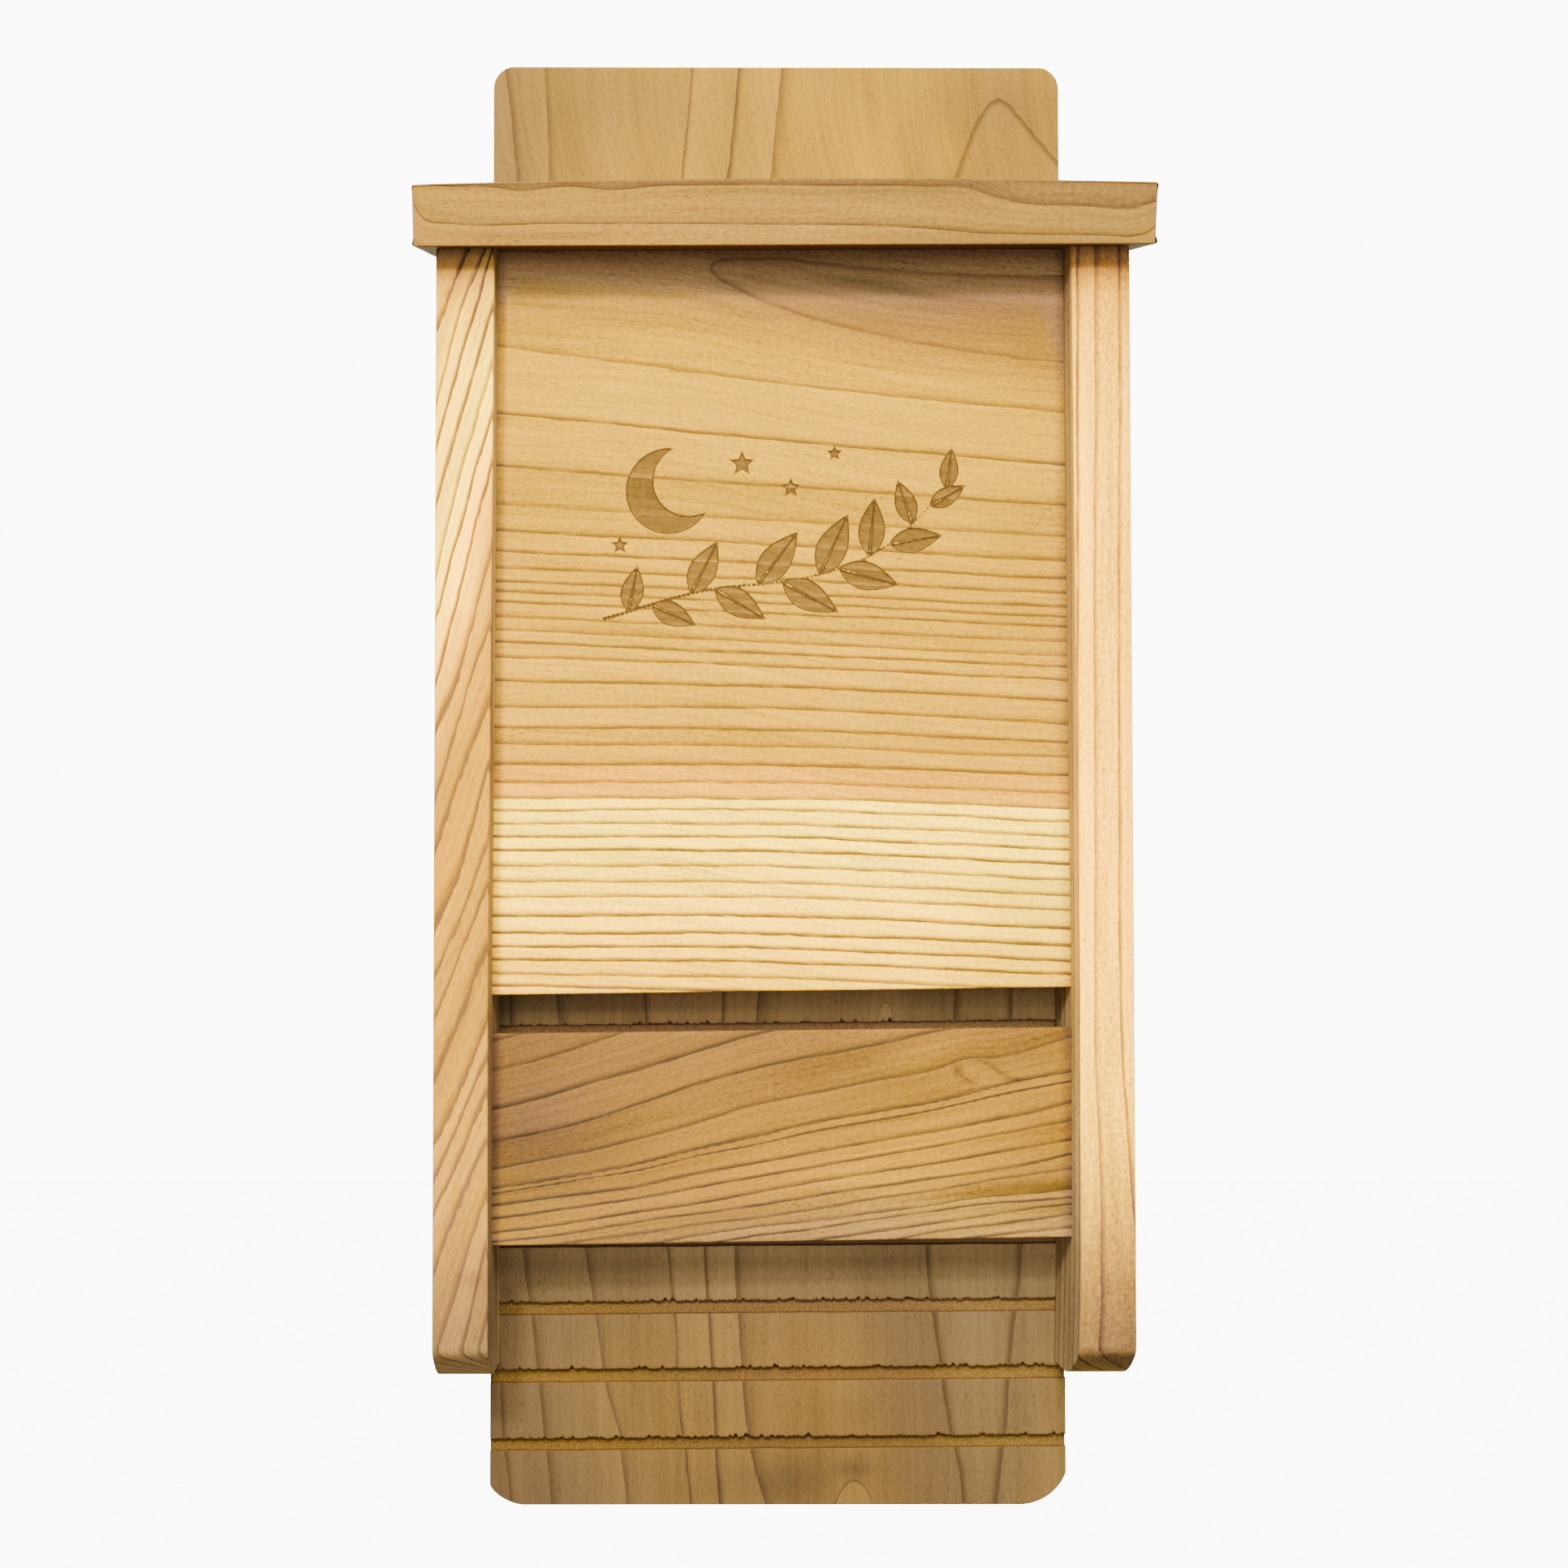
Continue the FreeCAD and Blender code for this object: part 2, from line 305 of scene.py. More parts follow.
backLow, backHigh = nodeBox("back_board")
backPlan = {
    "half": 120.65, "thickness": 15.9, "arris": 0.8, "topRadius": 9.0, "rearTint": 1.25,
    # radius of each lower corner, and how far it reaches in
    "leftFoot": (19.2, 15.5), "rightFoot": (21.2, 19.6),
    # the saw kerfs; the first one's lower edge is that far above the foot
    "kerfHeight": 4.6, "kerfDepth": 3.2, "kerfPitch": 28.7, "firstKerf": 24.4, "kerfCount": 17,
    # the shadowed one shows only as a line below the lower panel, and is painted dark as its shadow
    "seenKerfs": (0, 1, 2, 3, 6), "shadowedKerf": 3,
    # how far the fibres along a kerf's upper lip are torn away, raised and pulled out in tufts
    "tear": 1.15, "burr": 0.22, "tuft": 2.4,
    # steps of the grid, and where its rows begin and end between the shaped edges
    "columnStep": 0.58, "footRows": 20.5, "frontPlain": 14, "lastPlain": 194, "rearPlain": (30, 12),
    "underKerf": 0.9, "aboveKerf": 4.0, "shares": (0.28, 0.56, 0.8),
    "paintedShades": (  # darker towards the foot, painted shadow just below the lower panel and painted light in the vent: height, then factors for red, green and blue
        (-300, 0.48, 0.51, 1.3), (-268, 0.5, 0.54, 1.4), (-235, 0.52, 0.57, 1.6), (-226, 0.58, 0.64, 2.0),
        (-219, 0.62, 0.7, 2.6), (-217, 0.66, 0.76, 2.9), (-214, 0.67, 0.77, 3.15), (-212, 0.84, 0.97, 4.0),
        (-207, 1.1, 1.3, 6.0), (-205, 1.05, 1.25, 6.2), (-202, 0.96, 1.15, 7.0), (-200, 1.35, 1.6, 9.0),
        (-192, 1.5, 1.8, 10.0), (-115, 1.65, 1.9, 9.0), (-103, 1.65, 1.9, 9.0), (-100, 1.6, 1.85, 9.0),
        (-96, 1.2, 1.35, 7.0), (-85, 1.2, 1.3, 6.0), (-60, 1, 1, 1.2), (200, 1, 1, 1),
    ),
    "shadeAndToneSpots": (  # patches of painted shade and light, and of the wood's own tone: x, z, reach along both, colour factors, and how far it leans
        (-100, -255, 34, 70, (1.08, 1.06, 0.78)), (-66, -262, 30, 60, (1.04, 1.03, 0.82)),
        (84, -255, 15, 90, (1.25, 1.3, 1.04)), (113, -255, 15, 90, (1.32, 1.36, 1.2)),
        (64, -209, 14, 10, (1.12, 1.12, 1.1)), (8, -255, 30, 60, (1.06, 1.0, 1.0)),
        (33, -267, 10, 7, (0.84, 0.84, 0.9)), (110, -202.5, 30, 3, (1.25, 1.25, 1.1)),
        (-100, -103.4, 34, 2.2, (1.3, 1.3, 1.0)), (100, -103.4, 34, 2.2, (0.76, 0.76, 0.9)),
        (-20, -262, 24, 14, (0.88, 0.9, 0.95)), (0, -295, 42, 14, (0.76, 0.78, 0.94)),
        (3, -294, 13, 8, (0.8, 0.82, 0.92)), (32, -290, 8, 3.4, (0.66, 0.67, 0.85)),
        (32, -300, 7, 6, (1.12, 1.12, 1.0)), (95, -100, 60, 14, (1.3, 1.4, 1.4)),
        (-80, -95.5, 60, 2.4, (0.45, 0.5, 0.9)), (-118, -98, 7, 14, (0.55, 0.55, 0.9)),
        (-104, 270, 24, 60, (0.76, 0.77, 0.85)), (-36, 270, 26, 60, (0.88, 0.9, 0.9)),
        (-15, 280, 13, 60, (0.76, 0.77, 0.95)), (-75, 292, 22, 16, (0.84, 0.86, 1.1)),
        (-45, 288, 14, 20, (0.92, 0.94, 1.25)), (74, 266, 10, 16, (1.35, 1.3, 0.62)),
        (15, 268, 16, 18, (1.03, 1.0, 0.7)), (45, 266, 16, 16, (1.1, 1.08, 0.6)),
        (104, 268, 18, 30, (0.9, 0.89, 0.8)), (106, 290, 20, 14, (0.84, 0.86, 1.1)),
    ),
}
backPlan["grain"] = {
    "axes": ((2, 1), (0, 1), (1, 1)), "face": -15.9, "tilt": -1.1,
    "stations": (-303.3, -284.8, -273.0, -256.1, -232.4, -205.3, -99.8, 260.0, 281.0, 301.4),
    "fold": (  # the line at which the rings turn back, as (along, across)
        (-303.3, 84.2), (-284.8, 84.2), (-273, 83.6), (-256.1, 83), (-232.4, 82.6), (-205.3, 82.4),
        (-99.8, 86.6), (240, 104), (258, 100.8), (266, 98.6), (274, 96.9), (284, 95.3), (292, 94.7),
        (301.4, 94),
    ),
    "roundness": 3.0,
    "rings": (  # one line each, by its places across at the stations or by its own (along, across) pairs
        (140, 140, 140, 140, 140, 140, 140, 140, 140, 140),
        ((-303.3, 76.2), (-284.8, 74.2), (-273, 71.2), (-256.1, 68.9), (-232.4, 65.6),
         (-205.3, 62.6), (-99.8, 74), (240, 71), (258, 76.4), (266, 78.8),
         (274, 82), (284, 86.8), (290, 90.8), (294, 94.5), (301.4, 99)),
        (-5.7, -11.1, -13.1, -14.8, -16.5, -18.2, -8.9, -2.3, -0.2, 1.6),
        (-24.7, -26.1, -26.7, -27.4, -28.8, -30.8, -23.2, -20.6, -18.2, -16.4),
        (-36.9, -38.6, -40.3, -42.0, -43.1, -45.5, -55.7, -39.7, -37.9, -36.2),
        (-63.4, -65.5, -66.8, -71.6, -75.0, -79.9, -92.3, -97.5, -97.9, -99.0),
        (-94.6, -96.4, -98.1, -99.8, -102.6, -106.4, -112.8, -110.3, -112.4, -115.6),
        (-112.1, -114.0, -115.3, -116.2, -119.5, -124.0, -128.0, -130.0, -130.0, -130.0),
        (-140, -140, -140, -140, -141, -144, -146, -146, -146, -146),
    ),
    "swells": (  # along, across, reach along both, and how many rings it adds
        (-315.0, 33.0, 22.0, 9.5, 1.1), (-112.0, 45.8, 20.0, 5.0, 1.35),
    ),
}


def backHalfWidth(z, side):
    # half the board's width at a height: straight edges that end in a quarter circle at the top
    # and in part of a larger one at the foot
    plan = backPlan
    radius = plan["topRadius"]
    above = np.clip(z - (backHigh[2] - radius), 0, radius)
    half = plan["half"] - radius + np.sqrt(radius**2 - above**2)
    footRadius, reach = plan["rightFoot"] if side > 0 else plan["leftFoot"]
    below = np.clip(footRadius - (z - backLow[2]), 0, footRadius)
    foot = plan["half"] - reach + np.sqrt(np.clip(footRadius**2 - below**2, 0, None))
    return np.minimum(half, foot)


def kerfRows(row, k, xs, plan):
    # edge lines of one saw kerf, from the wood above its lip to the wood below; it returns its lower edge
    skew = (strays["kerfSkew"] + strays["kerfTilt"].get(k, 0.0)) * xs - strays["kerfDrop"]
    low = backLow[2] + plan["firstKerf"] + k * plan["kerfPitch"] + skew
    lip = low + plan["kerfHeight"]
    lipShift, lowShift = strays["kerfShift"].get(k, (0.0, 0.0))
    lip, low = lip + lipShift, low + lowShift
    deep = plan["kerfDepth"]
    if k not in plan["seenKerfs"]:
        row(lip, 0, cut=0.6, tornAndShade=0.5)
        row(lip - 0.1, deep, cut=1.0)
        row(low + 0.1, deep, cut=1.0)
        row(low, 0, cut=0.6)
        return low
    # in the kerf below the lower panel the torn colour paints its shadow
    kerfShadow = 1.0 if k == plan["shadowedKerf"] else 0.0

    def rough(seed, smooth):
        return ripple(len(xs), seed + k, smooth)

    frayed = np.clip(rough(40, 1) * 1.1 - 0.25, 0, 2) * plan["tear"]
    frayed = frayed + np.clip(rough(70, 3) - 0.1, 0, 1) * 0.35 * plan["tear"]
    hairs = np.clip(rough(20, 1), 0, 1.5) * plan["burr"]
    # here and there a tuft of fibres is torn out above the cut
    tufts = np.clip(rough(300, 1) - 0.3, 0, 0.6) * np.clip(rough(330, 9) + 0.7, 0, 1) * plan["tuft"]
    wander = rough(90, 14) * 0.12
    row(lip + 3.4, 0)
    row(lip + 1.7, 0)
    row(lip + 0.85 + frayed * 0.6 + tufts, -hairs * 0.45, tornAndShade=0.1)
    row(lip + 0.3 + frayed + tufts, -hairs, tornAndShade=np.clip(0.35 + tufts, 0, 1))
    row(lip + frayed * 0.9 - hairs * 1.3 + tufts * 0.8, 0.12 + hairs * 0.2,
        cut=0.35, tornAndShade=np.clip(0.5 + tufts, 0, 1))
    # from here down into the kerf the torn colour is painted shadow under the upper lip as well as torn
    # fibres
    row(lip + frayed * 0.5 + tufts * 0.5, 0.75, cut=0.9, tornAndShade=1.0)
    row(lip - 0.05 + wander * 0.5, deep - 0.4, cut=1.0, tornAndShade=1.0)
    row(lip - 0.3 + wander * 0.5, deep, cut=1.0, tornAndShade=1.0)
    row(lip - 0.9 + wander * 0.5, deep, cut=1.0, tornAndShade=max(0.35, kerfShadow))
    row(lip - 1.7, deep - 0.08 * rough(120, 2), cut=1.0, tornAndShade=max(0.1, kerfShadow))
    row(low + 1.4, deep - 0.08 * rough(150, 2), cut=1.0, tornAndShade=kerfShadow)
    row(low + 0.3 + wander, deep, cut=1.0, tornAndShade=kerfShadow)
    row(low + 0.05 + wander, deep - 0.3, cut=1.0, tornAndShade=kerfShadow)
    row(low + wander, 0.25, cut=0.8, tornAndShade=kerfShadow)
    row(low - 0.2 + wander, 0.04, cut=0.15, tornAndShade=0.3 * kerfShadow)
    row(low - plan["underKerf"], 0)
    return low


def makeBackBoard(plan):
    # upright sections side by side from left to right: each runs down the front over the kerfs and up
    # the rear, and its x is its share of the half width at that height, so that the ends come out round
    top, bottom = backHigh[2], backLow[2]
    arris = plan["arris"]
    ends = arrisSteps(arris)[:-1]
    inner = spaced(-plan["half"] + arris, plan["half"] - arris, plan["columnStep"])
    xs = np.concatenate([-plan["half"] + ends, inner, plan["half"] - ends[::-1]])
    flat = np.ones_like(xs)
    rows = []  # height, depth behind the face, freshly cut, torn fibres and painted shadow: one entry for each lengthwise edge line

    def row(z, depth, cut=0.0, tornAndShade=0.0):
        rows.append((flat * z, flat * depth, flat * cut, flat * tornAndShade))

    def plainRows(heights):
        for z in heights:
            row(z, 0)

    def arrisRows(end, inwards, order):
        for step in arrisSteps(arris)[::order]:
            row(end + inwards * step, easing(step, arris))

    def roundRows(end, radius, angles):
        # heights that are closest together where the rounded corner is steepest
        plainRows(end + radius * (1 - np.cos(angles)))

    arrisRows(top, -1, 1)
    roundRows(top, -plan["topRadius"], np.linspace(0.5, math.pi / 2, 6))
    plainRows(np.linspace(top - plan["frontPlain"], plan["lastPlain"], 18))
    for k in reversed(range(plan["kerfCount"])):
        low = kerfRows(row, k, xs, plan)
        if k in plan["seenKerfs"][1:] or k - 1 in plan["seenKerfs"]:  # rows down to the next kerf
            between = plan["kerfPitch"] - plan["kerfHeight"] - plan["aboveKerf"]
            plainRows([low - plan["underKerf"] - share * between for share in plan["shares"]])
    roundRows(bottom, plan["footRows"], np.linspace(1.3, 0.3, 12))
    arrisRows(bottom, 1, -1)
    frontCount = len(rows)
    arrisRows(bottom, 1, 1)
    roundRows(bottom, plan["footRows"], np.linspace(0.35, 1.3, 7))
    plainRows(np.linspace(bottom + plan["rearPlain"][0], top - plan["rearPlain"][1], 14))
    roundRows(top, -plan["topRadius"], np.linspace(math.pi / 2, 0.5, 5))
    arrisRows(top, -1, -1)

    z, depth, cut, tornAndShade = gathered(rows, 4)
    z[:, :frontCount] = np.minimum.accumulate(z[:, :frontCount], axis=1)
    u = (xs / plan["half"])[:, None]
    x = u * np.where(u > 0, backHalfWidth(z, 1), backHalfWidth(z, -1))
    depth = np.maximum(depth, easing(plan["half"] - np.abs(xs), arris)[:, None])
    front = np.arange(z.shape[1]) < frontCount
    y = np.where(front, -plan["thickness"] + depth, -depth)
    paintedShadeAndTone = shadeAndTonePatches(paintedShadeAlong(z, plan["paintedShades"]), x, z, plan["shadeAndToneSpots"])
    # the rear face takes one even factor in place of the front's painted shade
    paintedShadeAndTone[:, frontCount:] = plan["rearTint"]
    values = {"cut": cut.ravel(), "tornAndShade": tornAndShade.ravel(), "paintedShadeAndTone": paintedShadeAndTone.reshape(-1, 3)}
    points = np.stack([x, y, z], -1)
    return makeBoard("backBoard", points, "back_board", values, plan["grain"], 2)


# engraved sprig, moon and stars on the upper panel, a plain garden motif

motif = {
    "centre": (-2.0, 92.0), "depth": 0.45, "stemWidth": (1.5, 0.5),
    "stem": ((-70, -30), (-30, -19), (12, -14), (44, -2), (70, 22)),
    # step of its fine grid, and the grid's left, right, lowest and highest end
    "cell": 0.6, "span": (-80, 80, 46, 138),
    "leaves": (  # place on the stem, degrees from the stem, length, half width
        (0.06, 62, 19, 4.6), (0.12, -42, 20, 4.8), (0.22, 50, 24, 5.6), (0.28, -40, 24, 5.6),
        (0.38, 48, 27, 6.2), (0.44, -36, 26, 6.0), (0.54, 50, 27, 6.2), (0.6, -34, 25, 5.8),
        (0.7, 58, 24, 5.4), (0.77, -26, 22, 5.0), (0.86, 64, 19, 4.4), (0.93, -16, 17, 3.8),
        (1.0, 40, 17, 3.8),
    ),
    # centre, radius, place of the bite from the centre, its radius
    "moon": (-44, 22, 17.5, 8.2, 4.2, 14.6),
    "stars": (  # centre and size
        (-14, 33, 5.2), (6, 23, 4.0), (-64, 0, 3.6), (24, 37, 3.2),
    ),
}
farAway = 99.0  # the largest distance from the outline that is told apart


def stemLine(plan):
    # the stem's centre line and half thickness at evenly spaced places, a cubic through its knots
    knots = np.array(plan["stem"], float)
    t = np.linspace(0, 1, 90)
    places = np.linspace(0, 1, len(knots))
    thick = np.interp(t, [0, 1], plan["stemWidth"]) / 2
    return t, throughPoints(places, knots[:, 0], t), throughPoints(places, knots[:, 1], t), thick


def leafDistance(x, z, heading, length, halfWidth):
    # a leaf is as wide as a stretched sine along its length, and a narrow vein is left standing in it
    a = x * math.cos(heading) + z * math.sin(heading)
    b = -x * math.sin(heading) + z * math.cos(heading)
    share = np.clip(a / length, 0, 1)
    width = halfWidth * np.sin(math.pi * share**0.8)
    vein = 0.55 * np.clip(1 - share / 0.8, 0, 1) * np.clip(share / 0.1, 0, 1)
    leaf = np.maximum(np.abs(b) - width, np.maximum(-a, a - length))
    return np.maximum(leaf * 0.93, vein - np.abs(b))


def starDistance(x, z, size):
    # the plane is folded into one half of a point, whose edge is a straight line from tip to valley
    point = 2 * math.pi / 5
    around = np.hypot(x, z)
    fold = np.abs((np.arctan2(x, z) / point + 0.5) % 1.0 - 0.5) * point
    edgeX, edgeZ = math.sin(point / 2) * size * 0.42, math.cos(point / 2) * size * 0.42 - size
    aside, out = around * np.sin(fold), around * np.cos(fold)
    return (aside * -edgeZ + (out - size) * edgeX) / math.hypot(edgeX, edgeZ)


def motifDistance(x, z):
    # distance to the motif's outline, negative inside: the least of stem, leaves, moon and stars
    x = np.asarray(x) - motif["centre"][0]
    z = np.asarray(z) - motif["centre"][1]
    t, stemX, stemZ, thick = stemLine(motif)
    best = np.full(x.shape, farAway)
    for i in range(len(t)):
        best = np.minimum(best, np.hypot(x - stemX[i], z - stemZ[i]) - thick[i])
    for at, turn, length, halfWidth in motif["leaves"]:
        i = min(int(at * (len(t) - 1)), len(t) - 2)
        heading = math.atan2(stemZ[i + 1] - stemZ[i], stemX[i + 1] - stemX[i]) + math.radians(turn)
        a, b = x - np.interp(at, t, stemX), z - np.interp(at, t, stemZ)
        best = np.minimum(best, leafDistance(a, b, heading, length, halfWidth))
    moonX, moonZ, radius, biteX, biteZ, bite = motif["moon"]
    disc = np.hypot(x - moonX, z - moonZ) - radius
    best = np.minimum(best, np.maximum(disc, bite - np.hypot(x - moonX - biteX, z - moonZ - biteZ)))
    for starX, starZ, size in motif["stars"]:
        best = np.minimum(best, starDistance(x - starX, z - starZ, size))
    return best


# front panels

upperPlan = {
    "arris": 0.8, "chip": 0.35, "topReach": 0.2,
    # the grid is finer in these rows, as (start, end, step), and over the motif
    "columnStep": 4.0, "rowStep": 4.0, "closeRows": (170, 212, 1.0),
    # distance given to points that aren't near the motif, and shading beside the sides
    "unburnt": 9.0, "edgeShade": (-0.35, -0.35, 0.875), "edgeReach": 2.4,
    "paintedShades": (  # painted light and shade in the roof's shadow: height, then factors for red, green and blue
        (158, 1, 1, 1), (166, 1.02, 1.01, 1.1), (172, 1.06, 1.05, 1.3), (180, 1.13, 1.11, 2.3),
        (184, 1.17, 1.13, 3.3), (188, 1.28, 1.24, 4.6), (192, 1.47, 1.45, 7.5), (196, 1.75, 1.95, 17.0),
        (200, 1.7, 1.95, 23.0), (204, 1.5, 1.68, 23.0), (208, 1.15, 1.3, 19.0), (212, 0.8, 0.8, 12.0),
    ),
    "shadeAndToneSpots": (  # patches of painted shade and light, and of the wood's own tone: x, z, reach along both, colour factors, and how far it leans
        (38, 199, 26, 3.4, (0.72, 0.76, 0.9), -0.1), (60, 194, 30, 2.0, (0.84, 0.85, 0.95), -0.15),
        (-10, 202, 8, 2.0, (0.85, 0.85, 0.9)), (-96, 201.5, 20, 3.4, (0.85, 0.89, 0.85)),
        (57, 199.5, 9, 2.0, (1.15, 1.2, 1.25)), (45, 162, 50, 8, (1.16, 1.14, 1.1)),
        (60, 174, 60, 14, (1.0, 0.97, 1.35)), (107, 180, 14, 24, (0.87, 0.87, 0.9)),
        (-114, 60, 4.5, 170, (1.02, 1.0, 3.0)), (114, 60, 4.5, 170, (1.02, 1.0, 3.0)),
        (0, -91, 160, 2.2, (0.94, 0.96, 5.0)), (100, -70, 26, 30, (0.76, 0.8, 1.0)),
        (-45, 171, 60, 12, (1.2, 1.2, 0.9)), (-100, 120, 22, 30, (0.93, 0.93, 0.95)),
        (100, 90, 18, 30, (0.88, 0.88, 1.0)), (70, 190, 46, 18, (0.86, 0.86, 1.1)),
    ),
}
upperPlan["grain"] = {
    "axes": ((0, 1), (2, 1), (1, 1)), "face": -55.8, "tilt": 0.35, "stations": (-110.4, -0.9, 111.4),
    "roundness": 1.5,
    "fold": (  # the line at which the rings turn back, as (along, across)
        (-112, 212), (-60, 209), (-29, 205.4), (-25.2, 204.6), (-18.9, 203.3), (-10.6, 201.2),
        (-0.7, 199.4), (15.9, 195.7), (39.1, 191.7), (72.2, 187.4), (112, 184.3),
    ),
    "rings": (  # one line each, by its places across at the stations or by its own (along, across) pairs
        (262, 246, 238),
        ((-112, 226), (-60, 213), (-31, 207), (-29.6, 204.9), (-28.7, 203.4),
         (-27.2, 201.6), (-25.2, 200.2), (-18.9, 196.9), (-10.6, 192.7), (-0.7, 189.0),
         (15.9, 183.3), (39.1, 177.7), (72.2, 171.4), (112, 165.7)),
        (172.3, 157.7, 146.5), (144.9, 134.3, 124.4), (123.2, 115.3, 108.1), (107.6, 101.4, 95.1),
        (96.9, 91.4, 85.2), (88.6, 83.4, 77.9), (82.0, 77.1, 71.9), (76.3, 71.5, 66.2), (72.4, 67.5, 62.3),
        (68.1, 63.2, 58.3), (61.8, 56.9, 52.0), (56.5, 51.6, 46.3), (51.5, 46.6, 41.7), (45.5, 42.3, 36.7),
        (35.6, 33.3, 28.1), (25.0, 24.7, 18.5), (16.1, 15.5, 10.6), (10.5, 9.5, 5.0), (1.6, 1.3, -2.6),
        (-5.4, -5.7, -9.6), (-12.3, -12.3, -16.2), (-16.9, -16.5, -21.1), (-22.5, -22.8, -27.4),
        (-27.5, -27.7, -32.7), (-33.1, -33.7, -38.6), (-39.3, -39.9, -45.2), (-45.9, -46.5, -51.4),
        (-51.5, -52.1, -56.7), (-59.7, -60.0, -64.9), (-67.2, -67.6, -71.5), (-72.2, -72.8, -78.1),
        (-77.4, -78.7, -83.3), (-83.0, -85.0, -89.6), (-88.0, -90.5, -95.6),
    ),
}
lowerPlan = {
    "arris": 0.8, "chip": 0.35, "columnStep": 1.6, "rowStep": 1.0, "unburnt": 9.0,
    "edgeShade": (-0.35, -0.35, 0.875), "edgeReach": 2.4,
    # painted shade colour towards the bottom: height, then factors for red, green and blue
    "paintedShades": ((-200, 1, 1.06, 1.7), (-180, 1, 1.03, 1.4), (-165, 1, 1, 1.0), (-100, 1, 1, 1.0)),
    "shadeAndToneSpots": (  # patches of painted shade and light, and of the wood's own tone: x, z, reach along both, colour factors, and how far it leans
        (114, -140, 5, 60, (1.08, 1.08, 0.7)), (-114, -140, 5, 60, (1.0, 1.0, 0.75)),
        (-98, -152, 28, 26, (0.84, 0.89, 1.3)), (-1, -157, 42, 14, (1.18, 1.18, 1.25)),
        (45, -166, 45, 10, (1.22, 1.26, 1.1)), (82, -182, 36, 9, (1.32, 1.34, 0.85)),
        (58, -112, 30, 7, (1.15, 1.17, 1.1)), (-60, -170, 60, 10, (0.95, 0.96, 1.35)),
        (-104, -146, 26, 20, (0.72, 0.72, 1.0)), (-66, -152, 30, 10, (0.84, 0.84, 1.0)),
        (55, -152, 52, 20, (1.26, 1.27, 0.9)), (66, -116, 24, 8, (1.3, 1.3, 0.9)),
        (80, -171.4, 26, 1.2, (0.7, 0.68, 0.4), 0.07), (108, -168.4, 26, 2.6, (0.56, 0.55, 0.37), 0.05),
        (110, -178, 20, 2.0, (0.75, 0.72, 0.6), 0.05), (50, -176, 60, 1.0, (1.2, 1.22, 1.0), 0.09),
        (70, -181, 50, 0.8, (1.2, 1.22, 1.1), 0.09), (60, -164, 50, 0.8, (1.16, 1.16, 1.1), 0.09),
        (71.2, -122, 1.6, 2.8, (0.42, 0.42, 0.8)), (74.5, -125.4, 2.8, 1.0, (0.5, 0.5, 0.8), -0.6),
        (80, -118.3, 7, 0.8, (0.6, 0.6, 0.9), -0.05), (87, -121.8, 4.5, 0.9, (0.42, 0.42, 0.9), -0.6),
        (95, -125.6, 5, 1.0, (0.42, 0.42, 0.9), -0.05), (76, -121, 3.4, 2.2, (1.12, 1.1, 0.9)),
        (84, -126, 4, 2, (1.15, 1.15, 1.0)),
    ),
}
lowerPlan["grain"] = {
    "axes": ((0, 1), (2, 1), (1, 1)), "face": -55.8, "tilt": 0.6,
    "stations": (-117.0, -101.0, -79.7, -56.8, -33.9, -11.0, 12.0, 38.2, 62.7, 74.2, 85.7, 97.8, 116.5),
    "rings": (  # one line each, by its places across at the stations or by its own (along, across) pairs
        (-94.3, -90.1, -84.5, -76.0, -66.0, -57.0, -47.0, -36.0, -25.0, -20.0, -15.0, -9.0, 0.0),
        (-110.3, -106.1, -100.5, -93.0, -84.0, -76.0, -67.0, -57.0, -47.0, -42.0, -37.0, -32.0, -24.0),
        (-122.2, -118.3, -111.8, -104.0, -96.1, -88.2, -80.3, -71.3, -62.8, -58.8, -54.8, -50.6, -44.2),
        (-137.8, -134.3, -128.0, -121.7, -114.6, -107.8, -102.3, -95.7, -89.6, -86.7, -83.8, -80.8, -76.1),
        (-151.2, -147.9, -142.9, -135.4, -127.5, -121.3, -116.7,
         -111.7, -106.2, -104.4, -102.4, -100.3, -97.0),
        (-162.1, -159.0, -155.0, -149.3, -143.2, -135.9, -131.5,
         -125.9, -121.5, -117.1, -116.8, -114.4, -108.4),
        (-169.8, -167.6, -164.3, -159.8, -154.1, -149.1, -143.6,
         -139.0, -135.0, -132.3, -129.2, -126.1, -122.8),
        (-171.6, -169.0, -165.4, -161.8, -156.3, -151.9, -146.6,
         -141.9, -137.5, -135.0, -132.3, -129.9, -126.3),
        (-176.5, -174.3, -171.7, -168.4, -163.5, -159.5, -155.1,
         -150.8, -146.7, -144.4, -142.3, -140.0, -135.3),
        (-181.8, -179.8, -176.8, -173.5, -169.2, -165.1, -161.1,
         -156.8, -152.4, -150.0, -147.9, -145.8, -142.3),
        (-187.7, -185.6, -182.6, -178.9, -175.7, -171.4, -167.4,
         -163.2, -159.4, -157.5, -155.2, -153.2, -150.0),
        (-191.2, -189.6, -186.7, -182.7, -179.7, -176.7, -172.9,
         -169.1, -165.5, -164.0, -162.5, -160.4, -155.9),
        (-195.6, -193.7, -190.5, -187.8, -184.1, -181.4, -178.0,
         -173.6, -170.2, -168.0, -166.0, -164.3, -161.6),
        (-199.7, -197.7, -195.1, -192.5, -188.2, -184.7, -182.5,
         -179.5, -176.1, -174.0, -172.8, -172.0, -169.8),
        (-203.8, -201.8, -199.3, -196.5, -192.4, -188.7, -186.0,
         -181.8, -178.4, -176.6, -175.4, -174.8, -173.4),
        (-208.6, -206.5, -203.7, -200.6, -197.6, -194.5, -190.5,
         -186.9, -183.3, -181.8, -179.9, -177.9, -175.9),
        (-213.5, -211.3, -208.3, -205.1, -201.9, -198.6, -195.3,
         -191.7, -187.0, -185.5, -184.4, -182.7, -180.0),
        (-218.4, -216.0, -212.9, -209.5, -206.1, -202.7, -199.1,
         -195.4, -191.7, -189.8, -188.5, -187.2, -185.3),
    ),
}


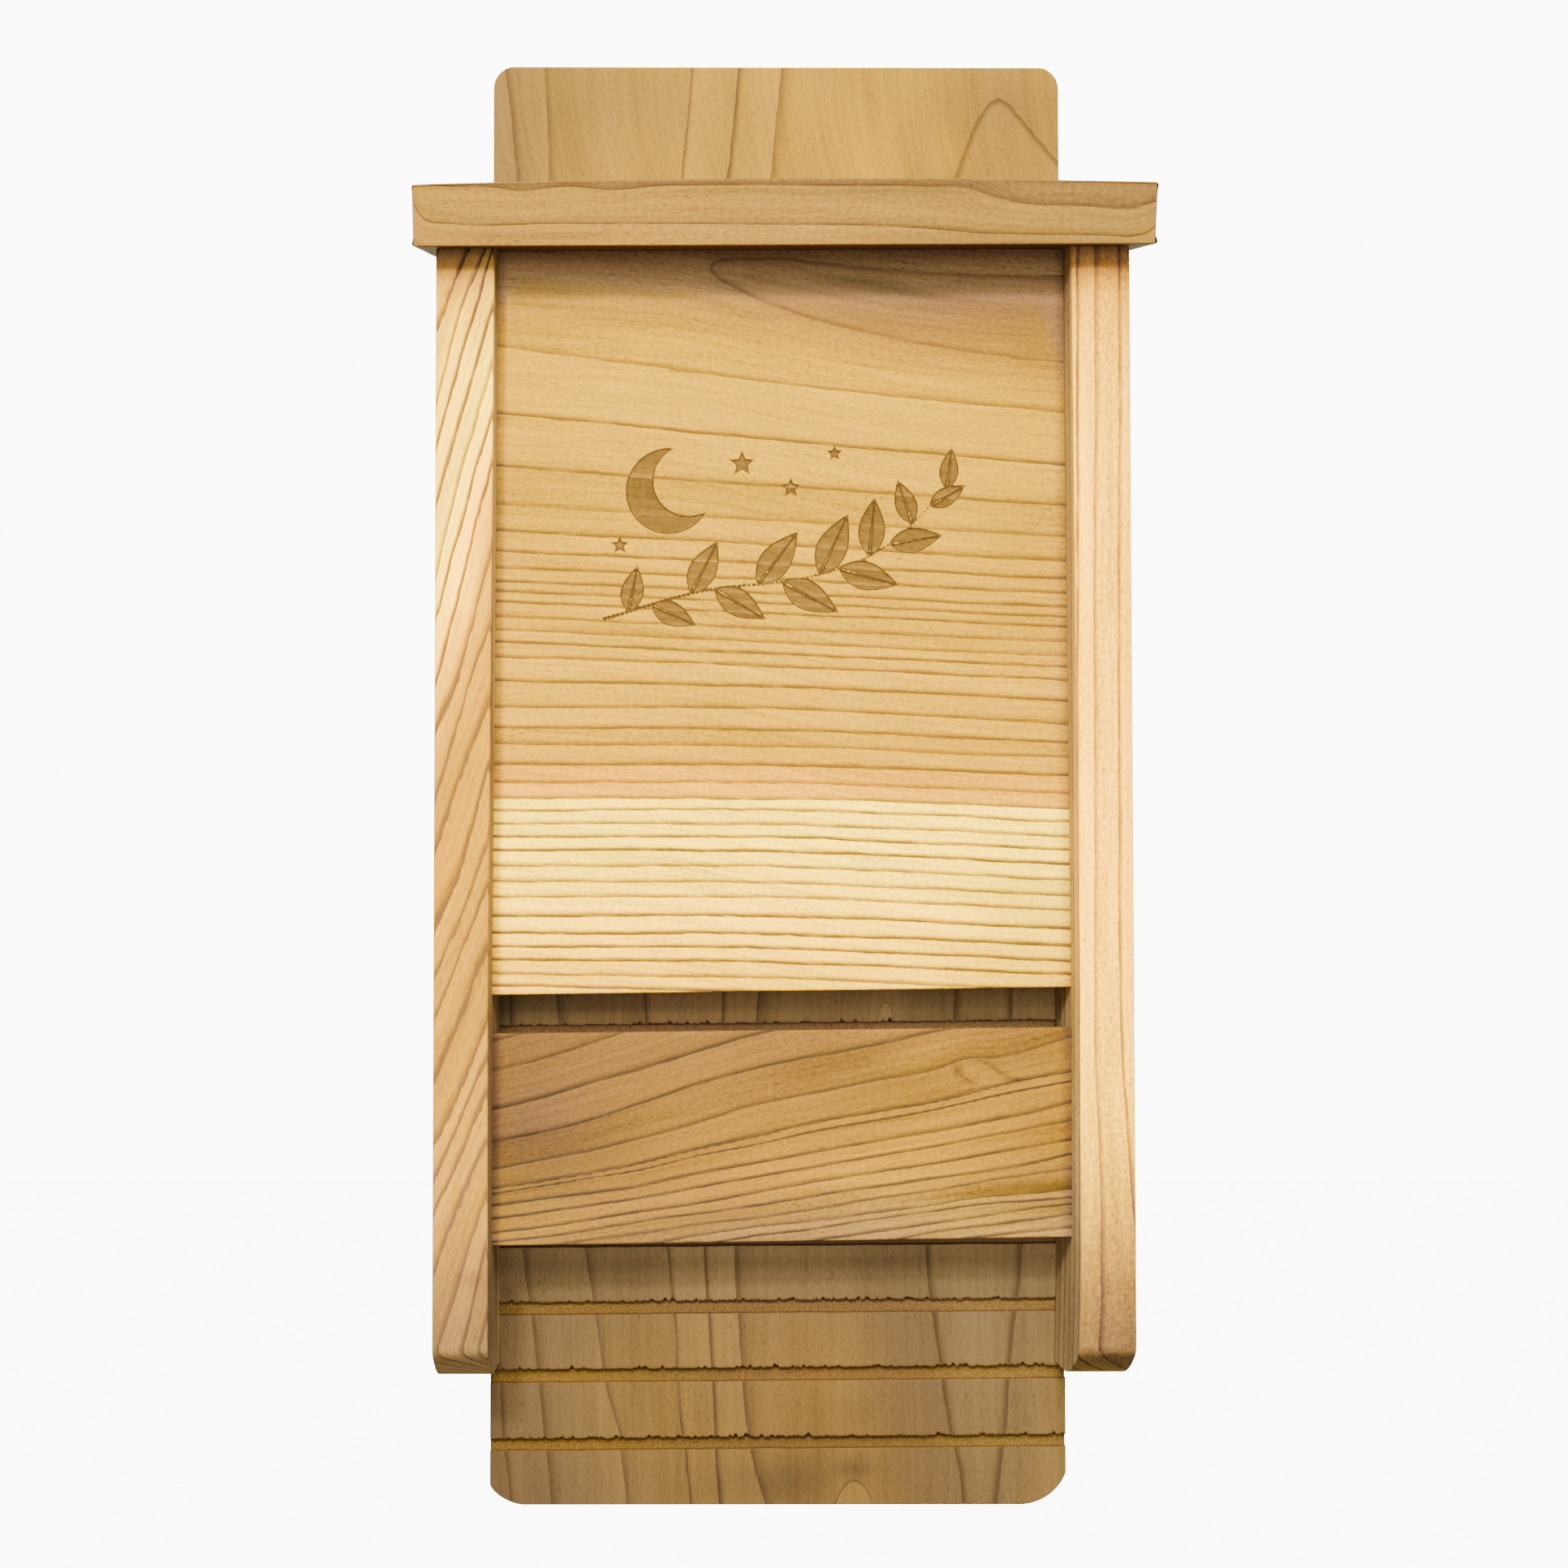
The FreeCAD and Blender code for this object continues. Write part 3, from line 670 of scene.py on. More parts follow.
def makePanel(name, node, plan, skewTop, skewBottom, carved=False):
    # upright sections side by side: each is the panel's outline from the front's lower edge up, over the
    # top and down the rear, with quarter rounds at its corners. Where the panel is carved, the grid is
    # drawn onto the motif's outline and the points inside it lie deeper
    low, high = nodeBox(node)
    front, rear, bottom, top = low[1], high[1], low[2], high[2]
    arris = plan["arris"]
    left, right, lowest, highest = motif["span"]
    cell = motif["cell"]
    frontTop = top
    closeColumns, closeRows = (), ()
    if carved:  # its top follows the slope of the roof
        frontTop = top - (rear - front) * math.tan(roofSlope)
        closeColumns = ((left, right, cell),)
        closeRows = ((lowest, highest, cell), plan["closeRows"])
    xs = spaced(low[0], high[0], plan["columnStep"], closeColumns)
    flat = np.ones_like(xs)
    chips = np.clip(ripple(len(xs), 5, 2), 0, 1.5) * plan["chip"] + arris
    rows = []

    def row(y, z, face=0.0):
        rows.append((flat * y, flat * z, flat * face))

    def corner(y, z, reachY, reachZ, start, end, count):
        # a quarter round between two faces, by its angle
        for angle in np.linspace(start, end, count):
            row(y + reachY * (1 - math.sin(angle)), z + reachZ * (1 - math.cos(angle)))

    corner(front, bottom, chips, chips, 0, math.pi / 2, 5)
    for z in spaced(bottom + 2.0, frontTop - 2.0, plan["rowStep"], closeRows):
        row(front, z, 1.0)
    if carved:
        corner(front, frontTop, plan["topReach"], -0.1 * plan["topReach"], math.pi / 2, 0, 5)
    else:
        corner(front, frontTop, chips, -chips, math.pi / 2, 0, 5)
    corner(rear, top, -arris, -arris, 0, math.pi / 2, 4)
    for z in np.linspace(top - 3, bottom + 3, 14):
        row(rear, z)
    corner(rear, bottom, -arris, arris, math.pi / 2, 0, 4)

    y, z, face = gathered(rows, 3)
    x = np.repeat(xs[:, None], z.shape[1], 1)
    burn = np.full(z.shape, plan["unburnt"])
    if carved:
        margin = 2  # columns this close to the fine grid's ends stay in place
        block = np.ix_((xs > left + margin) & (xs < right - margin), face[0] == 1.0)
        x[block], z[block], burn[block] = snapped(motifDistance, x[block], z[block], cell)
        y[block] = y[block] + np.where(burn[block] < -0.01, motif["depth"], 0.0)
    share = np.clip((z - bottom) / (top - bottom), 0, 1)
    z = z + (skewBottom * (1 - share) + skewTop * share) * x
    x = x * (1 - innerLean(z) / high[0])
    paintedShadeAndTone = shadeAndTonePatches(paintedShadeAlong(z, plan["paintedShades"]), x, z, plan["shadeAndToneSpots"])
    # painted shade near the panel's sides
    fromSide = np.minimum(x - low[0], high[0] - 1 - x)
    nearSide = np.exp(-(np.maximum(fromSide, 0) / plan["edgeReach"])**2)[..., None]
    paintedShadeAndTone = paintedShadeAndTone * (1 + nearSide * np.array(plan["edgeShade"]))
    values = {"burn": burn.ravel(), "paintedShadeAndTone": paintedShadeAndTone.reshape(-1, 3)}
    return makeBoard(name, np.stack([x, y, z], -1), node, values, plan["grain"], 0)


# screws: countersunk heads with a cross recess, over plain shanks

screwPlan = {
    "head": 4.0, "shank": 2.0, "rim": 0.4, "length": 45.0, "point": 6.0, "sunk": 0.3,
    "armWidth": 0.62, "armReach": 2.3, "armDepth": 1.5,
    "hole": 4.1, "holeDepth": 2.1, "holeReach": 5.4,  # radius, depth, and how far round it the grid is fine
    "radii": (0.02, 0.3, 0.55, 0.75, 1.0, 1.3, 1.6, 1.9, 2.15, 2.35, 2.6, 3.0, 3.5, 3.85, 3.97, 4.0),
    "turns": 48, "sharpest": 35,
}


def makeScrews(name, node, heads, direction, plan, turn):
    # surface of revolution from the recess floor over the rim and down to the point; the recess is
    # a cross of two bars, as deep as the distance inside its outline allows
    angles = np.linspace(0, 2 * math.pi, plan["turns"] + 1)[:-1]
    radii = np.array(plan["radii"])
    c, s = np.cos(angles)[:, None], np.sin(angles)[:, None]
    a, b = np.abs(radii * c), np.abs(radii * s)
    reach, wide = plan["armReach"], plan["armWidth"]
    arm = np.minimum(np.maximum(a - reach, b - wide * (1.15 - 0.25 * a / reach)),
                     np.maximum(b - reach, a - wide * (1.15 - 0.25 * b / reach)))
    recess = plan["armDepth"] * np.clip(-arm / 0.22, 0, 1) * (1 - 0.25 * radii / reach)
    dish = 0.12 * np.clip((radii - plan["head"] + 0.3) / 0.3, 0, 1)**2
    shank, rim = plan["shank"], plan["rim"]
    outline = np.array(((plan["head"], rim), (shank * 1.02, rim + 2.0), (shank, rim + 2.4),
                        (shank, plan["length"] - plan["point"]), (0.05, plan["length"])))
    r = np.concatenate([radii, outline[:, 0]])
    u, v = r * c, r * s
    w = np.concatenate([recess + dish, outline[:, 1] + 0 * c], 1)
    direction = np.array(direction, float)
    side = np.cross(direction, (0, 0, 1) if abs(direction[2]) < 0.8 else (0, 1, 0))
    side /= np.linalg.norm(side)
    up = np.cross(direction, side)
    rows, count = u.shape
    verts, faces = [], []
    for k, head in enumerate(heads):
        spin = turn[k % len(turn)]
        turnedU = (u * math.cos(spin) - v * math.sin(spin))[..., None]
        turnedV = (u * math.sin(spin) + v * math.cos(spin))[..., None]
        points = np.array(head) + turnedU * side + turnedV * up + w[..., None] * direction
        here = np.arange(rows * count).reshape(rows, count) + k * rows * count
        there = np.roll(here, -1, 0)
        quads = np.stack([here[:, :-1], here[:, 1:], there[:, 1:], there[:, :-1]], -1).reshape(-1, 4)
        verts.append(points.reshape(-1, 3))
        faces += quads.tolist() + [here[:, 0][::-1].tolist(), here[:, -1].tolist()]
    mesh = bpy.data.meshes.new(name)
    mesh.from_pydata((np.concatenate(verts) * mm).tolist(), [], faces)
    mended = bmesh.new()
    mended.from_mesh(mesh)
    bmesh.ops.recalc_face_normals(mended, faces=mended.faces)
    mended.to_mesh(mesh)
    mended.free()
    shadeSmooth(mesh, plan["sharpest"])
    return finishPiece(name, mesh, node)


def screwHeights(node, count):
    # heights of the heads in an upright row of screws, from the CAD node's box
    low, high = nodeBox(node)
    return np.linspace(low[2] + screwPlan["head"], high[2] - screwPlan["head"], count)


# side boards

sideForm = {
    "arris": 0.9, "step": 4.5, "cell": 0.7, "rebate": 15.9,
    # the rounded lower front corner, and the angle and number of the rows that follow it
    "noseRadius": 61.0, "noseReach": 38.0, "blend": 5.0, "noseTurn": 0.78, "noseCount": 18,
    # between these heights the rows rise into the slope of the roof
    "stretchFrom": 187.5, "frontTop": 207.4,
    "middleY": -25.0, "headX": 138.5,
    # how far the front's shading has faded behind it on the outer face and elsewhere, as (y, share)
    "outerFade": ((-76, 0.6), (-66, 1.0)), "innerFade": ((-70, 0.0), (-30, 0.65)),
    # the screws into each board: name of the seam, its part of the piece's name, their y and how many
    "screws": (("back", "Back", -7.95, 4), ("upper_panel", "UpperPanel", -47.85, 3),
               ("lower_panel", "LowerPanel", -47.85, 2)),
}
leftPlan = {
    # painted shade on the inner face, as colour factors
    "inside": (0.52, 0.7, 19.0),
    "paintedShades": (  # painted shadow under the roof, painted shade and light at the foot, and tone along the board: height, then factors for red, green and blue
        (-247, 0.95, 1.1, 16.0), (-244, 1.0, 1.25, 10.0), (-240, 0.92, 1.2, 6.6), (-236, 0.68, 0.86, 4.4),
        (-232, 0.56, 0.68, 3.1), (-225, 0.52, 0.6, 2.5), (-205, 0.7, 0.76, 2.3), (-187, 0.86, 0.91, 1.9),
        (-171, 0.97, 1.02, 1.65), (-150, 1.0, 1.03, 1.35), (-110, 0.87, 0.89, 1.15), (-60, 0.86, 0.88, 1),
        (0, 0.87, 0.9, 0.9), (30, 0.95, 0.96, 0.85), (65, 1.06, 1.05, 0.75), (110, 1, 0.98, 0.7),
        (160, 0.98, 1, 0.6), (178, 0.93, 0.9, 0.6), (188, 0.7, 0.66, 1.0), (192, 0.64, 0.6, 2.0),
        (196, 0.6, 0.56, 3.2), (199, 0.47, 0.44, 4.5), (201.6, 0.45, 0.47, 8.0), (204.2, 0.38, 0.39, 8.0),
        (207, 0.32, 0.31, 7.0),
    ),
    # patches of painted shade and of the wood's own tone: x, z, reach along both, colour factors
    "shadeAndToneSpots": (
        (-122, 178, 6, 14, (0.75, 0.72, 1.1)), (-126, 72, 6, 14, (1.2, 1.25, 1.0)),
        (-122, -203.5, 7, 3.5, (0.72, 0.7, 0.9)),
    ),
}
leftPlan["grain"] = {
    "axes": ((0, 1), (2, 1), (1, 1)), "face": -76.2, "tilt": 6.0, "slant": 0.36, "rest": -127.6,
    "sideFibres": 0.12, "stations": (-136.9, -127.6, -118.6),
    "rings": (  # one line each, by its places across at the stations or by its own (along, across) pairs
        (206, 230, 250), (177.7, 201.6, 221.3), (149.2, 185.9, 208.8), (131.6, 165.6, 197.0),
        (107.5, 139.4, 172.8), (80.8, 119.6, 150.9), (63.0, 97.8, 130.7), (38.0, 74.0, 110.8),
        (14.4, 38.4, 75.0), (-9.8, 22.2, 48.4), (-29.8, -3.0, 20.6), (-64.2, -42.0, -7.8),
        (-81.5, -60.7, -34.0), (-97.6, -75.4, -52.0), (-121.6, -100.1, -76.1), (-148.1, -128.0, -104.6),
        (-160.9, -140.8, -119.0), (-174.9, -154.5, -133.1), (-199.1, -173.0, -151.9),
        (-232.4, -200.4, -173.9), (-263.2, -237.2, -197.8), (-286.9, -261.6, -223.6), (-310, -285, -255),
    ),
}
rightPlan = {
    # painted shade on the inner face, as colour factors
    "inside": (0.5, 0.65, 13.0),
    "paintedShades": (  # painted shadow under the roof, and darker towards the foot: height, then factors for red, green and blue
        (-247, 0.36, 0.38, 13.0), (-244, 0.24, 0.26, 7.0), (-240, 0.155, 0.175, 4.3),
        (-234, 0.135, 0.153, 3.8), (-225, 0.125, 0.135, 3.2), (-205, 0.21, 0.22, 3.3),
        (-187, 0.36, 0.37, 3.0), (-171, 0.56, 0.58, 2.1), (-155, 0.78, 0.8, 1.45), (-135, 0.98, 1.0, 0.9),
        (-60, 1.07, 1.03, 0.6), (130, 0.93, 0.92, 0.6), (165, 0.8, 0.78, 0.7), (178, 0.71, 0.67, 0.7),
        (188, 0.6, 0.56, 0.75), (193.7, 0.5, 0.46, 1.4), (196.3, 0.46, 0.42, 2.1), (199, 0.39, 0.36, 3.2),
        (201.6, 0.37, 0.39, 7.0), (204.2, 0.345, 0.34, 8.0), (207, 0.29, 0.28, 7.0),
    ),
    # patches of painted shade and of the wood's own tone: x, z, reach along both, colour factors
    "shadeAndToneSpots": ((137, 188, 5, 26, (0.82, 0.82, 0.9)), (118, -228, 4, 28, (1.2, 1.2, 1.0))),
}
rightPlan["grain"] = {
    "axes": ((2, 1), (0, -1), (1, 1)), "face": -76.2, "tilt": 0.8, "rest": 0.0, "sideFibres": 0.01,
    "stations": (-236.4, -211.0, -179.2, -115.2, -18.7, 78.5, 194.4),
    "rings": (  # one line each, by its places across at the stations or by its own (along, across) pairs
        (-149.0, -149.0, -147.0, -143.0, -141.6, -142.0, -143.0),
        (-141.0, -139.9, -137.9, -133.5, -132.8, -133.4, -134.2),
        (-123.1, -124.5, -125.0, -122.9, -123.5, -123.7, -124.7),
        (-112.9, -113.6, -114.5, -115.2, -116.0, -116.9, -117.6),
        (-104.0, -104.5, -105.0, -106.0, -107.0, -108.0, -109.0),
    ),
}


def noseDepth(rise, full):
    # depth of the board at a height above its foot: a long flat arc that blends into the straight front
    radius, blend = sideForm["noseRadius"], sideForm["blend"]
    fallen = np.clip(radius - rise, 0, None)
    arc = full - sideForm["noseReach"] + np.sqrt(np.clip(radius**2 - fallen**2, 0, None))
    mixed = np.clip(0.5 - 0.5 * (arc - full) / blend, 0, 1)
    depth = full * (1 - mixed) + arc * mixed - blend * mixed * (1 - mixed) * 0.5
    knee = radius - math.sqrt(radius**2 - sideForm["noseReach"]**2)
    return np.where(rise > knee + 3 * blend, full, np.minimum(depth, full))


def makeSideBoard(name, side, node, plan):
    # level sections one above the other: the board's plan with rounded front edges and the rebate at the
    # rear, squeezed towards the rebate where the nose is shallower, and stretched up to the roof's slope
    form = sideForm
    low, high = nodeBox(node)
    inner, outer = (high[0], low[0]) if side < 0 else (low[0], high[0])
    half = side * backPlan["half"]
    full = -low[1]
    rebate, arris, cell = form["rebate"], form["arris"], form["cell"]
    word = "left" if side < 0 else "right"
    bottom = low[2] + strays[word + "Foot"]
    screws = np.array([(y, z) for group, _, y, count in form["screws"]
                       for z in screwHeights(word + "_" + group + "_screws", count)])

    def holes(y, z):
        return np.min([np.hypot(y - a, z - b) for a, b in screws], axis=0) - screwPlan["hole"]

    loop, kinds = [], []
    outerFace, outerArris, frontFace, innerArris, innerFace, rearFace = range(1, 7)

    def add(x, y, kind):
        loop.append((x, y))
        kinds.append(kind)

    def corner(edge, inwards, start, end, kind):
        # the quarter round between the front and one face, by its angle
        for angle in np.linspace(start, end, 5)[1:-1]:
            add(edge + inwards * arris * (1 - math.cos(angle)), -full + arris * (1 - math.sin(angle)), kind)

    reach = screwPlan["holeReach"]
    close = tuple((y - reach, y + reach, cell) for y in (screws[-1][0], screws[0][0]))
    for y in spaced(-full + arris, -0.6, form["step"], close)[::-1]:
        add(outer, y, outerFace)
    corner(outer, -side, 0, math.pi / 2, outerArris)
    for x in np.linspace(outer - side * arris, inner + side * arris, 8):
        add(x, -full, frontFace)
    corner(inner, side, math.pi / 2, 0, innerArris)
    for y in np.linspace(-full + arris, -rebate, 13):
        add(inner, y, innerFace)
    for x, y in ((half, -rebate), (half, -10.0), (half, -5.0), (half, 0.0),
                 ((half + outer) / 2, 0.0), (outer - side * 0.6, 0.0)):
        add(x, y, rearFace)
    loop, kinds = np.array(loop), np.array(kinds)

    noseRows = form["noseRadius"] * (1 - np.cos(np.linspace(0, form["noseTurn"], form["noseCount"])))
    zs = spaced(bottom + noseRows[-1] + 2, form["frontTop"], form["step"],
                tuple((z - reach, z + reach, cell) for _, z in screws))
    footRows = np.array([0, 0.25, 0.6])
    zs = np.concatenate([bottom + footRows, bottom + noseRows[noseRows > 0.9], zs])
    x = np.repeat(loop[None, :, 0], len(zs), 0)
    y = np.repeat(loop[None, :, 1], len(zs), 0)
    z = np.repeat(zs[:, None], len(loop), 1)
    squeeze = (noseDepth(zs[:, None] - bottom, full) - rebate) / (full - rebate)
    y = np.where(y < -rebate, -rebate + (y + rebate) * squeeze, y)
    inset = np.interp(zs - bottom, footRows, [0.5, 0.15, 0.0])[:, None]  # eased edges under the foot
    x = x - np.sign(x - (inner + outer) / 2) * inset * (kinds != rearFace)
    y = y - np.sign(y - form["middleY"]) * inset * (kinds < rearFace)

    block = np.ix_((zs > bottom + 20) & (zs < form["stretchFrom"]), kinds == outerFace)
    y[block], z[block], d = snapped(holes, y[block], z[block], cell)
    x[block] = x[block] - side * np.clip(-d, 0, screwPlan["holeDepth"])

    lifted = np.clip((z - form["stretchFrom"]) / (form["frontTop"] - form["stretchFrom"]), 0, 1)
    z = z + lifted * ((y + full) * math.tan(roofSlope) + strays["roofLean"] * x)
    towardsInner = np.clip(1 - np.abs(x - inner) / abs(outer - inner), 0, 1)
    x = x - side * innerLean(z, side) * towardsInner * (kinds < rearFace) * (kinds > outerFace)
    # the shading fades behind the front edge, soonest on the outer face
    outerAway, innerAway = (np.interp(y, *zip(*form[fade])) for fade in ("outerFade", "innerFade"))
    away = np.where(kinds == outerFace, outerAway, innerAway)
    paintedShadeAndTone = paintedShadeAlong(z, plan["paintedShades"])**(1 - away[..., None])
    # the inner face gets painted shade: the square root of the height's factors times its inside factors
    paintedShadeAndTone[:, kinds == innerFace] = paintedShadeAndTone[:, kinds == innerFace]**0.5 * plan["inside"]
    paintedShadeAndTone = shadeAndTonePatches(paintedShadeAndTone, x, z, plan["shadeAndToneSpots"])
    values = {"paintedShadeAndTone": paintedShadeAndTone.reshape(-1, 3)}
    return makeBoard(name, np.stack([x, y, z], -1), node, values, plan["grain"], 2)


# roof board

roofPlan = {
    "thickness": 25.4, "crown": 1.8, "half": 146.5, "arris": 0.9, "notch": 121.05, "notchDepth": 15.9,
    # the screws, and the grid round them and elsewhere
    "screwX": 127.7, "screwYs": (-64.25, -24.12), "cell": 0.7, "holeColumns": 7.5, "columnStep": 3.5,
    "rowStep": 4.0,
    # y and z of the underside's front edge, and the painted shade on the underside as colour factors
    "under": (-89.426, 203.856), "underside": (0.3, 0.28, 1.2),
    "shadeAndToneSpots": (  # patches of painted shade and light, and of the wood's own tone: x, height above the underside, reach along both, factors
        (120, 4, 50, 6, (0.76, 0.78, 0.85)), (100, 24, 60, 5, (0.84, 0.84, 0.9)),
        (-120, 3, 60, 5, (0.84, 0.82, 0.85)), (60, 12, 50, 5, (1.02, 1.03, 1.05)),
        (0, 25, 200, 3.0, (0.84, 0.84, 0.95)), (125, 14, 40, 9, (0.9, 0.95, 1.15)),
        (42, 19.8, 42, 2.8, (0.68, 0.7, 1.0)), (72, 14, 20, 3, (0.88, 0.88, 1.0)),
        (122, 7, 25, 3, (1.22, 1.22, 1.2)), (50, 2.5, 45, 2.5, (0.82, 0.82, 1.05)),
        (-95, 5, 50, 2, (0.88, 0.8, 0.8)), (-24, 9, 40, 4, (1.07, 1.07, 1.2)),
    ),
}
roofPlan["grain"] = {
    "axes": ((0, 1), (2, 1), (1, 1)), "face": 0.0, "tilt": -0.55, "stations": (-146, 0, 146),
    "rings": (  # one line each, by its places across at the stations or by its own (along, across) pairs
        (36.5, 36.0, 35.0),
        ((-147, 24.6), (-138, 23.2), (-113, 22.2), (-103, 20.9), (-92, 22.4), (-85, 22.7),
         (-67.3, 21.3), (-50, 22.8), (-34, 23.1), (17, 22.7), (56, 22.3), (73, 21.4),
         (80, 18.8), (91, 16.0), (119, 14.5), (138, 13.7), (147, 16.5)),
        ((-147, 19.4), (-144.3, 12.9), (-140.4, 9.9), (-132.8, 9.0), (-89.7, 8.7), (-2.2, 8.2), (36.7, 7.5),
         (56.3, 6.3), (76.1, 4.6), (95.7, 4.1), (125.1, 3.7), (138.9, 3.4), (143.7, 4.7), (147, 7.6)),
        (-6.0, -5.5, -7.0),
    ),
}


def roofCrown(x):
    # fall of the crowned top away from the middle: an arc through the crown and both ends
    radius = (roofPlan["half"]**2 + roofPlan["crown"]**2) / (2 * roofPlan["crown"])
    return radius - np.sqrt(radius**2 - np.asarray(x)**2)


def onRoof(x, y, n):
    # place of a point given by its x, its y and its height n above the underside, square to the slope
    underY, underZ = roofPlan["under"]
    along = (y - underY + n * math.sin(roofSlope)) / math.cos(roofSlope)
    height = underZ + along * math.sin(roofSlope) + n * math.cos(roofSlope)
    return np.stack([x, y, height + strays["roofLean"] * x], -1)


def roofGrid(plan):
    # columns across the roof, each a loop of (y, n): along the top, down the rear, back below, up the front
    sine, cosine = math.sin(roofSlope), math.cos(roofSlope)
    underY = plan["under"][0]
    arris, cell, notch = plan["arris"], plan["cell"], plan["notch"]
    reach, screwX = screwPlan["holeReach"], plan["screwX"]
    ends = arrisSteps(arris)[:-1]
    inside = spaced(-plan["half"] + arris, plan["half"] - arris, plan["columnStep"],
                    tuple((middle - reach, middle + reach, cell) for middle in (-screwX, screwX)))
    inside = inside[np.abs(np.abs(inside) - notch) > 0.4]
    xs = np.sort(np.concatenate([-plan["half"] + ends, inside, plan["half"] - ends,
                                 [-notch, -notch + 1e-3, notch - 1e-3, notch]]))
    top = plan["thickness"] - roofCrown(xs)
    fallen = easing(plan["half"] - np.abs(xs), arris)
    rear = np.where(np.abs(xs) < notch - 5e-4, -plan["notchDepth"], 0.0)
    frontTopY = underY - plan["thickness"] * sine
    close = tuple((y - reach, y + reach, cell) for y in plan["screwYs"])
    ys = np.concatenate([spaced(frontTopY + 3.0, -plan["notchDepth"], plan["rowStep"], close),
                         spaced(-plan["notchDepth"], 0.0, plan["rowStep"])[1:]])
    steps = arrisSteps(arris)[1:]
    loop = []

    def place(y, n):
        loop.append((y + 0 * xs, n + 0 * xs))

    for step in steps:
        place(frontTopY + step * cosine + easing(step, arris) * sine, top - easing(step, arris) - fallen)
    for y in ys:
        place(np.minimum(y, rear), top - fallen)
    for share in (0.75, 0.5, 0.25):
        place(rear, (top - fallen) * share)
    for y in ys[::-1]:
        place(np.minimum(y, rear), fallen)
    for step in steps[::-1]:
        place(underY + step * cosine - easing(step, arris) * sine, easing(step, arris) + fallen)
    for share in np.linspace(0, 1, 13):
        n = arris + share * (top - 2 * arris)
        place(underY - n * sine + fallen * cosine, n)
    y, n = gathered(loop, 2)
    return xs, y, n, fallen, np.arange(len(steps), len(steps) + len(ys))


def makeRoof(plan):
    # the grid's columns side by side from end to end, and over each end four smaller copies of the last
    # column that close in on its middle
    sine, cosine = math.sin(roofSlope), math.cos(roofSlope)
    underY, underZ = plan["under"]
    xs, y, n, fallen, topRows = roofGrid(plan)
    x = np.repeat(xs[:, None], y.shape[1], 1)

    def holes(a, b):
        away = [np.hypot(np.abs(a) - plan["screwX"], (b - c) / cosine) for c in plan["screwYs"]]
        return np.min(away, axis=0) - screwPlan["hole"]

    near = np.abs(np.abs(xs) - plan["screwX"]) < plan["holeColumns"]
    block = np.ix_(np.where(near)[0], topRows)
    x[block], y[block], d = snapped(holes, x[block], y[block], plan["cell"])
    n[block] = n[block] - np.clip(-d, 0, screwPlan["holeDepth"])

    def cap(end):
        middle = (n[end].max() + n[end].min()) / 2
        steps = []
        for t in (0.25, 0.5, 0.75, 1.0):
            height = n[end] + (middle - n[end]) * t
            front = underY - height * sine + fallen[end] * cosine
            steps.append(onRoof(x[end], np.maximum(y[end], front), height))
        return np.array(steps)

    sections = np.concatenate([cap(0)[::-1], onRoof(x, y, n), cap(-1)])
    mesh = sweptMesh("roofBoard", sections, False)
    shadeSmooth(mesh, boardEdge)
    mended = bmesh.new()
    mended.from_mesh(mesh)
    bmesh.ops.remove_doubles(mended, verts=mended.verts, dist=1e-6)
    bmesh.ops.dissolve_degenerate(mended, dist=1e-7, edges=mended.edges)
    mended.to_mesh(mesh)
    mended.free()
    points, normals = vertexValues(mesh, "co") / mm, vertexValues(mesh, "normal")
    dy, dz = points[:, 1] - underY, points[:, 2] - underZ - strays["roofLean"] * points[:, 0]
    local = np.column_stack([points[:, 0], dy * cosine + dz * sine, -dy * sine + dz * cosine])
    number, gap, fibres = grainOf(local, normals, plan["grain"])
    # faces that look down get the painted shade of the underside
    below = np.clip((-normals[:, 2] - 0.6) / 0.3, 0, 1)[:, None]
    paintedShadeAndTone = 1 - below * (1 - np.array(plan["underside"]))
    paintedShadeAndTone = shadeAndTonePatches(paintedShadeAndTone, local[:, 0], local[:, 2], plan["shadeAndToneSpots"])
    writeValues(mesh, {"ring": number, "gap": gap, "fibre": fibres, "endGrain": endGrainOf(normals[:, 0]),
                       "paintedShadeAndTone": paintedShadeAndTone})
    print("roofBoard made from", sections.shape[0], "sections of", sections.shape[1], "points")
    return finishPiece("roofBoard", mesh, "roof_board")


backBoard = makeBackBoard(backPlan)
upperPanel = makePanel("upperFrontPanel", "upper_front_panel", upperPlan,
                       strays["roofLean"], strays["upperSkew"], carved=True)
lowerPanel = makePanel("lowerFrontPanel", "lower_front_panel", lowerPlan,
                       strays["lowerSkewTop"], strays["lowerSkewBottom"])
leftSide = makeSideBoard("leftSideBoard", -1, "left_side_board", leftPlan)
rightSide = makeSideBoard("rightSideBoard", 1, "right_side_board", rightPlan)
roofBoard = makeRoof(roofPlan)

screwPieces = []
for side, word in ((-1, "left"), (1, "right")):
    for group, label, y, count in sideForm["screws"]:
        node = word + "_" + group + "_screws"
        heads = [(side * sideForm["headX"], y, z) for z in screwHeights(node, count)]
        screwPieces.append(makeScrews(word + label + "Screws", node, heads, (-side, 0, 0), screwPlan,
                                      (0.3, 1.1, 0.7, 0.1)))
    x = side * roofPlan["screwX"]
    n = roofPlan["thickness"] - float(roofCrown(x)) - screwPlan["sunk"]
    heads = [onRoof(x, y, n) for y in roofPlan["screwYs"]]
    down = (0, math.sin(roofSlope), -math.cos(roofSlope))
    screwPieces.append(makeScrews(word + "RoofScrews", word + "_roof_screws", heads, down, screwPlan,
                                  (0.5, 1.3)))
print(len(screwPieces), "groups of screws made")


# shader helpers

def feed(tree, socket, value):
    if isinstance(value, bpy.types.NodeSocket):
        tree.links.new(value, socket)
    else:
        socket.default_value = value


